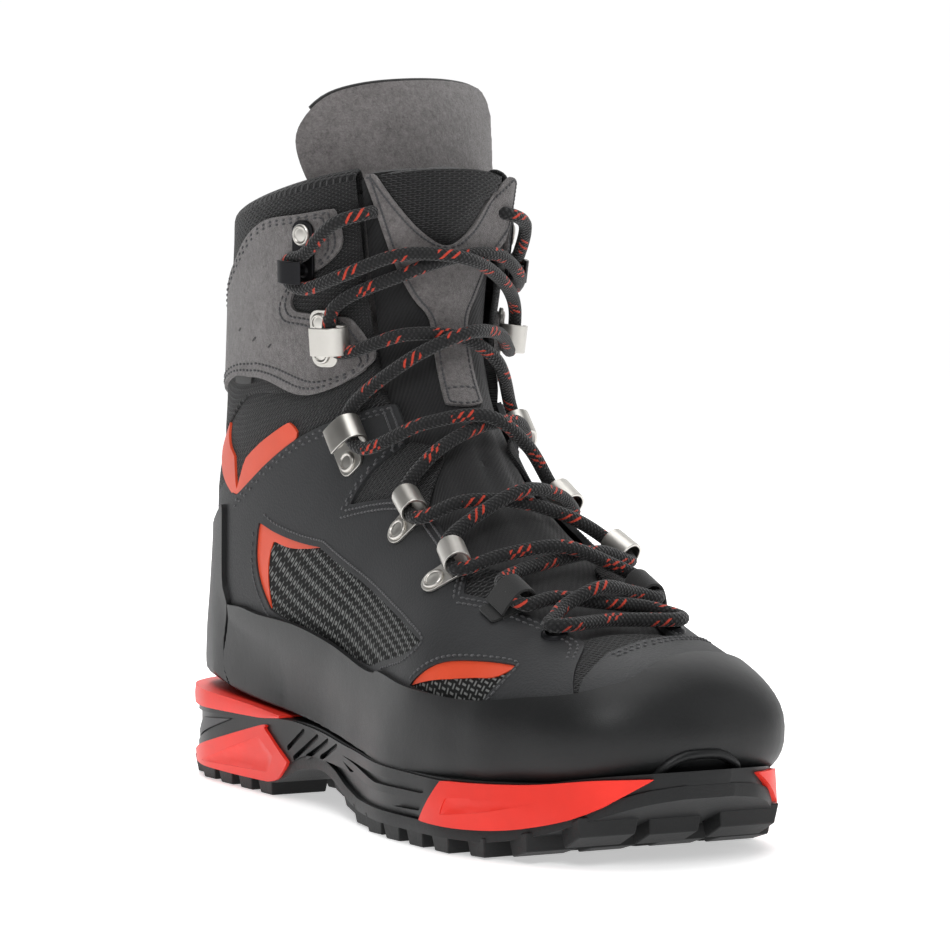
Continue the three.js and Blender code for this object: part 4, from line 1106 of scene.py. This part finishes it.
def centripetal(points, steps):  # a smooth curve that doesn't loop where points lie close
    made = []
    for i in range(len(points) - 1):
        b, c = points[i], points[i + 1]
        a = points[i - 1] if i else b * 2 - c
        d = points[i + 2] if i + 2 < len(points) else c * 2 - b
        gaps = [max((q - p).length ** 0.5, 1e-6) for p, q in ((a, b), (b, c), (c, d))]
        m1 = (b - a) / gaps[0] - (c - a) / (gaps[0] + gaps[1]) + (c - b) / gaps[1]
        m2 = (c - b) / gaps[1] - (d - b) / (gaps[1] + gaps[2]) + (d - c) / gaps[2]
        m1, m2 = m1 * gaps[1], m2 * gaps[1]
        for k in range(steps):
            t = k / steps
            made.append(b + m1 * t + (3 * (c - b) - 2 * m1 - m2) * t * t + (2 * (b - c) + m1 + m2) * t ** 3)
    return made + [points[-1]]


def makeLace():
    points = laceHalf(1)[::-1] + [above(0.252, 0, 2)] + laceHalf(-1)
    route = evenly(centripetal(points, 12), laceSize["spacing"] * mm)
    settle(tube("lace_braid", route, laceSize["radius"], "lace"), "flex", "lace", slot="lace")
    for name, ends in (("lateral", points[:2]), ("medial", points[-2:][::-1])):
        way = (ends[0] - ends[1]).normalized()
        start = ends[0] + way * metal["clearance"] * mm
        route = [start + way * (laceSize["agletLength"] * mm * k / 6) for k in range(7)]
        tip = tube(f"aglet_{name}_tip", route, laceSize["radius"] * laceSize["agletShare"], "blackMetal")
        settle(rounded(tip, 0.4), "shaft", f"aglet_{name}", slot="black_metal")
    print("lace made")


# the sole

outerPlan = smoothThrough([(-154, 6), (-151, 17), (-143, 27.5), (-128, 38.5), (-105, 49), (-78, 54.5), (-50, 54),
                           (-8, 45.5), (32, 39), (75, 38), (115, 37), (138, 31), (150, 20), (156, 7)])
innerPlan = smoothThrough([(-154, 11), (-151, 21.5), (-143, 31), (-125, 42.5), (-98, 52), (-70, 52.5), (-40, 45.5),
                           (-8, 38), (32, 35), (75, 38), (115, 37), (138, 31), (150, 20), (156, 7)])
treadAt = smoothThrough([(-154, 22), (-140, 15.5), (-122, 9), (-100, 5.3), (-20, 5), (-5, 7), (12, 11.5), (26, 13.5),
                         (42, 12), (54, 8), (64, 5), (156, 5)])
roofAt = smoothThrough([(-154, 30.5), (-140, 28.5), (-122, 25.6), (-76, 23.9), (-30, 24.2), (5, 25.5), (43, 28),
                        (60, 28), (156, 27)])
weltTop = smoothThrough([(56, 29), (80, 30.6), (115, 32), (140, 32.8), (158, 33)])
weltLow = smoothThrough([(56, 28.2), (74, 26.8), (158, 25.6)])
sole = {"rubber": 4.0, "tread": 5.0, "pitch": 16.5, "lug": 11.5, "wall": 1.6, "wallHigh": 0.9, "facetHigh": 0.35,
        "insert": 2.9, "insertHigh": 2.1, "dipHigh": 2.0, "dipSlope": 0.36, "lip": 1.6}
soleFront, soleBack = -154, 156


def soleSlab(name, y0, y1, low, high, lowOut, highOut, finish, steps=110, edge=0.8):
    bm = bmesh.new()
    rows = []
    for i in range(steps + 1):
        y = mix(y0, y1, (1 - cos(pi * i / steps)) / 2)
        row = []
        for share in (0, 0.5):
            for side, plan in ((-1, outerPlan), (1, innerPlan)):
                out, z = (lowOut, low(y)) if share == 0 else (highOut, high(y))
                row.append(Vector((side * max(plan(y) + out, 2), y, z)))
        a, b, c, d = row
        ring = [a, a.lerp(c, 0.5) + Vector((-0.3, 0, 0)), c, c.lerp(d, 0.25), c.lerp(d, 0.5), c.lerp(d, 0.75), d,
                d.lerp(b, 0.5) + Vector((0.3, 0, 0)), b, b.lerp(a, 0.33), b.lerp(a, 0.67)]
        rows.append([bm.verts.new(p * mm + place) for p in ring])
    for first, second in zip(rows, rows[1:]):
        for k in range(len(first)):
            j = (k + 1) % len(first)
            bm.faces.new((first[k], first[j], second[j], second[k]))
    bm.faces.new(rows[0])
    bm.faces.new(rows[-1])
    bmesh.ops.recalc_face_normals(bm, faces=bm.faces[:])
    return rounded(newPiece(name, bm, finish), edge, 3, 45)


rims = {}  # each side's edge from the heel to the toe, the way along it, and that way by place
for side, plan in ((1, outerPlan), (-1, innerPlan)):
    points = []
    for i in range(301):
        y = mix(soleBack, soleFront, (1 - cos(pi * i / 300)) / 2)
        points.append(Vector((-side * plan(y), y, 0)))
    ways = [0.0]
    for a, b in zip(points, points[1:]):
        ways.append(ways[-1] + (b - a).length)
    rims[side] = (points, ways, smoothThrough([(-p.y, way) for p, way in zip(points, ways)][::6]))


def wallSurface(side):  # pattern x runs forwards along the sole's edge from the heel, y is the height
    points, ways, _ = rims[side]

    def surface(x, z, height):
        i = next((k for k, way in enumerate(ways) if way > x), len(ways) - 1)
        t = (x - ways[i - 1]) / (ways[i] - ways[i - 1])
        low, high = max(i - 4, 0), min(i + 4, len(points) - 1)
        way = (points[high] - points[low]).normalized()
        out = Vector((way.y, -way.x, 0)) * side
        p = points[i - 1].lerp(points[i], t) + out * (height - 0.06 * abs(z - 16))
        return Vector((p.x, p.y, z)) * mm + place
    return surface


def flatWall(y, z, side):
    return Vector((rims[side][2](-y), z, 0))


def onWall(shape, side):  # outlines are given as y and z
    points = []
    for i, stretch in enumerate(shape):
        start = shape[i - 1][-1]
        points += evenly(curveThrough([flatWall(y, z, side) for y, z in [start] + stretch]), 2)[:-1]
    return [points[i - 1] * 0.12 + p * 0.76 + points[(i + 1) % len(points)] * 0.12 for i, p in enumerate(points)]


heelTriangle = [[(92, 25)], [(146, 8.8)], [(148, 23)]]
diamond = [[(73.6, 23.9), (69, 23.6)], [(49.5, 13.6)], [(58, 7.2), (66, 5.2)], [(100, 4.8), (153.5, 5.2)],
           [(154, 9.2)], [(140, 8.4)]]
diamondDip = [[(73, 20.3)], [(60.5, 14.6)], [(66, 8.6)], [(124, 6.6)]]
frontInsert = [[(-74, 9.4)], [(-95, 9.0), (-115, 10.6), (-132, 14.6), (-142, 19.5)], [(-151.5, 28.6)],
               [(-140, 27.7), (-122, 25.2), (-100, 23.8), (-86.5, 23.4)]]
frontDip = [[(-86.5, 12.6)], [(-105, 15.2), (-123, 19.4)], [(-104, 19.2), (-89.5, 18.4)]]
archSlots = [((51, 18.6), (40, 25.2)), ((46, 15.6), (28.5, 24.6)), ((36, 17), (18.5, 24.2)), ((24, 18), (8.5, 23.6))]
archGrooves = [[[(1.5, 21.6)], [(-30, 20.4), (-76, 20.4)], [(-76, 18.0)], [(-40, 17.6)]],
               [[(0, 19.8)], [(-28, 15.8), (-50, 15.4), (-75, 15.8)], [(-73, 12.2)], [(-48, 11.8), (-20, 14)]]]


def slotOutline(a, b, side, wide=1.0):
    start, end = flatWall(*a, side), flatWall(*b, side)
    way = (end - start).normalized()
    across = Vector((-way.y, way.x, 0))
    return [middle + (way * cos(radians(turn)) + across * sin(radians(turn))) * wide
            for middle, first in ((end, 90), (start, 270)) for turn in range(first, first - 181, -30)]


def makeSoleSide(name, side):
    surface = wallSurface(side)
    frameSide = [[(-72, 9.6)], [(-50, 9.2), (-25, 10), (-5, 12.6), (12, 16.4), (26, 17.6), (40, 16.6), (52, 12)],
                 [(90, 10), (130, 9.4), (153, 9.6)], [(153.5, 25.4)],
                 [(100, 26.6), (60, 27.6), (43, 27.6), (5, 25.2), (-40, 23.8), (-88, 23.2)]]
    holes = [onWall(shape, side) for shape in archGrooves + [heelTriangle]]
    holes += [slotOutline(a, b, side) for a, b in archSlots]
    wall = cutPanel(f"frame_side_{name}", [onWall(frameSide, side)] + holes, sole["wallHigh"], sole["wall"], "frame",
                    surface, edge=0.5, cell=3.5)
    settle(wall, "foot", slot="sole_frame")
    # the facet inside the heel triangle, coloured lighter grey as a painted highlight on the black frame
    facet = onWall([[(100, 23.6)], [(143, 11.5)], [(128, 21.5)]], side)
    settle(cutPanel(f"heel_facet_{name}", [facet], sole["facetHigh"], 0.8, "facetHighlight", surface, edge=0.3), "foot",
           slot="sole_frame")
    for shape, dip, node in ((diamond, diamondDip, "heel_insert"), (frontInsert, frontDip, "forefoot_insert")):
        block = cutPanel(f"{node}_{name}_red", [onWall(shape, side), onWall(dip, side)], sole["insertHigh"],
                         sole["insert"], "red", surface, edge=0.5, cell=3.5)
        settle(block, "foot", f"{node}_{name}", slot="red_trim")
        wide = onWall(dip, side)
        middle = sum(wide, Vector((0, 0, 0))) / len(wide)

        def dished(x, y):  # slopes down from the rim to a crease
            return sole["dipHigh"] - min(rimDistance(x, y, rim), 3) * sole["dipSlope"]
        rim = wide + wide[:1]
        wide = [p + (p - middle).normalized() * 0.5 for p in wide]
        settle(cutPanel(f"{node}_{name}_dip", [wide], dished, 0.8, "red", surface, edge=0.05, cell=1.6), "foot",
               slot="red_trim")


def lugAt(bm, x0, x1, y, length, depth):  # a block that narrows towards the ground
    for vert in bmesh.ops.create_cube(bm, size=2)["verts"]:
        side, end, low = vert.co.x, vert.co.y, vert.co.z < 0
        at = y + end * length / 2
        x = (x1 if side > 0 else x0) - (0.9 * side if low else 0)
        z = treadAt(at) + (-depth if low else 1.5)
        vert.co = Vector((x, at - (1.2 * end if low else 0), z)) * mm + place


def makeSole():
    core = soleSlab("sole_frame_core", soleFront, soleBack, lambda y: treadAt(y) + sole["rubber"], roofAt, -1.4, -0.7,
                    "frame")
    settle(core, "foot", "sole_frame", slot="sole_frame")
    slab = soleSlab("outsole_rubber", soleFront, soleBack, treadAt, lambda y: treadAt(y) + sole["rubber"] + 0.2,
                    0.3, 0.5, "treadRubber")
    settle(slab, "foot", "outsole", slot="rubber")
    bm = bmesh.new()
    rows = [(-133 + i * sole["pitch"], 4 if i else 3, sole["lug"], sole["tread"]) for i in range(8)]
    rows += [(73 + i * sole["pitch"], 3, sole["lug"], sole["tread"]) for i in range(5)]
    rows += [(-3, 4, 9, 4), (10, 4, 8, 3.4)]  # low ones under the arch
    for y, count, length, depth in rows:
        left, right = -outerPlan(y) + 0.4, innerPlan(y) - 0.4
        pitch = (right - left) / count
        for k in range(count):
            shift = (2.5 if k % 2 else -2.5) if 0 < k < count - 1 else 0
            x0 = left + pitch * k + (0 if k == 0 else 2.4)
            x1 = left + pitch * (k + 1) - (0 if k == count - 1 else 2.4)
            lugAt(bm, x0, x1, y + shift, length, depth)
    bmesh.ops.recalc_face_normals(bm, faces=bm.faces[:])
    settle(rounded(newPiece("tread_lugs", bm, "treadRubber", False), 0.5, 2, 30), "foot", slot="rubber")
    welt = soleSlab("heel_welt_red", 56, 157.5, weltLow, weltTop, 1.9, 1.7, "red", 60, 1.1)
    settle(welt, "foot", "heel_welt", slot="red_trim")
    for name, side in sides.items():
        makeSoleSide(name, side)
    flat = evenly(curveThrough([polar(s, angle) for s, angle in toeLip]), 2)
    route = [polarSurface(p.x, p.y, upper["randHigh"] + 0.2) for p in flat]
    settle(tube("toe_lip", route, sole["lip"], "frame"), "foot", slot="rubber")
    print("sole made")


# everything together

makeUpper()
makeShaft()
makeTongues()
makeFlap()
makeHardware()
makeLace()
makeSole()
makeSeams()
nodeFinish = {"rubber": "rubber", "sole_frame": "frame", "red_trim": "red", "footbed": "footbed",
              "leather": "leather", "suede": "suede", "mesh": "stretch", "weave": "weave", "lining": "lining",
              "board": "board", "steel": "nickel", "black_metal": "blackMetal", "lace": "lace"}
for part in frame["record"]["subparts"]:  # CAD pieces that stay as they are
    node = frame["nodes"][part["node"]]
    node.data.materials.clear()
    node.data.materials.append(finishes[nodeFinish[part["material_slot"]]])
print("done")
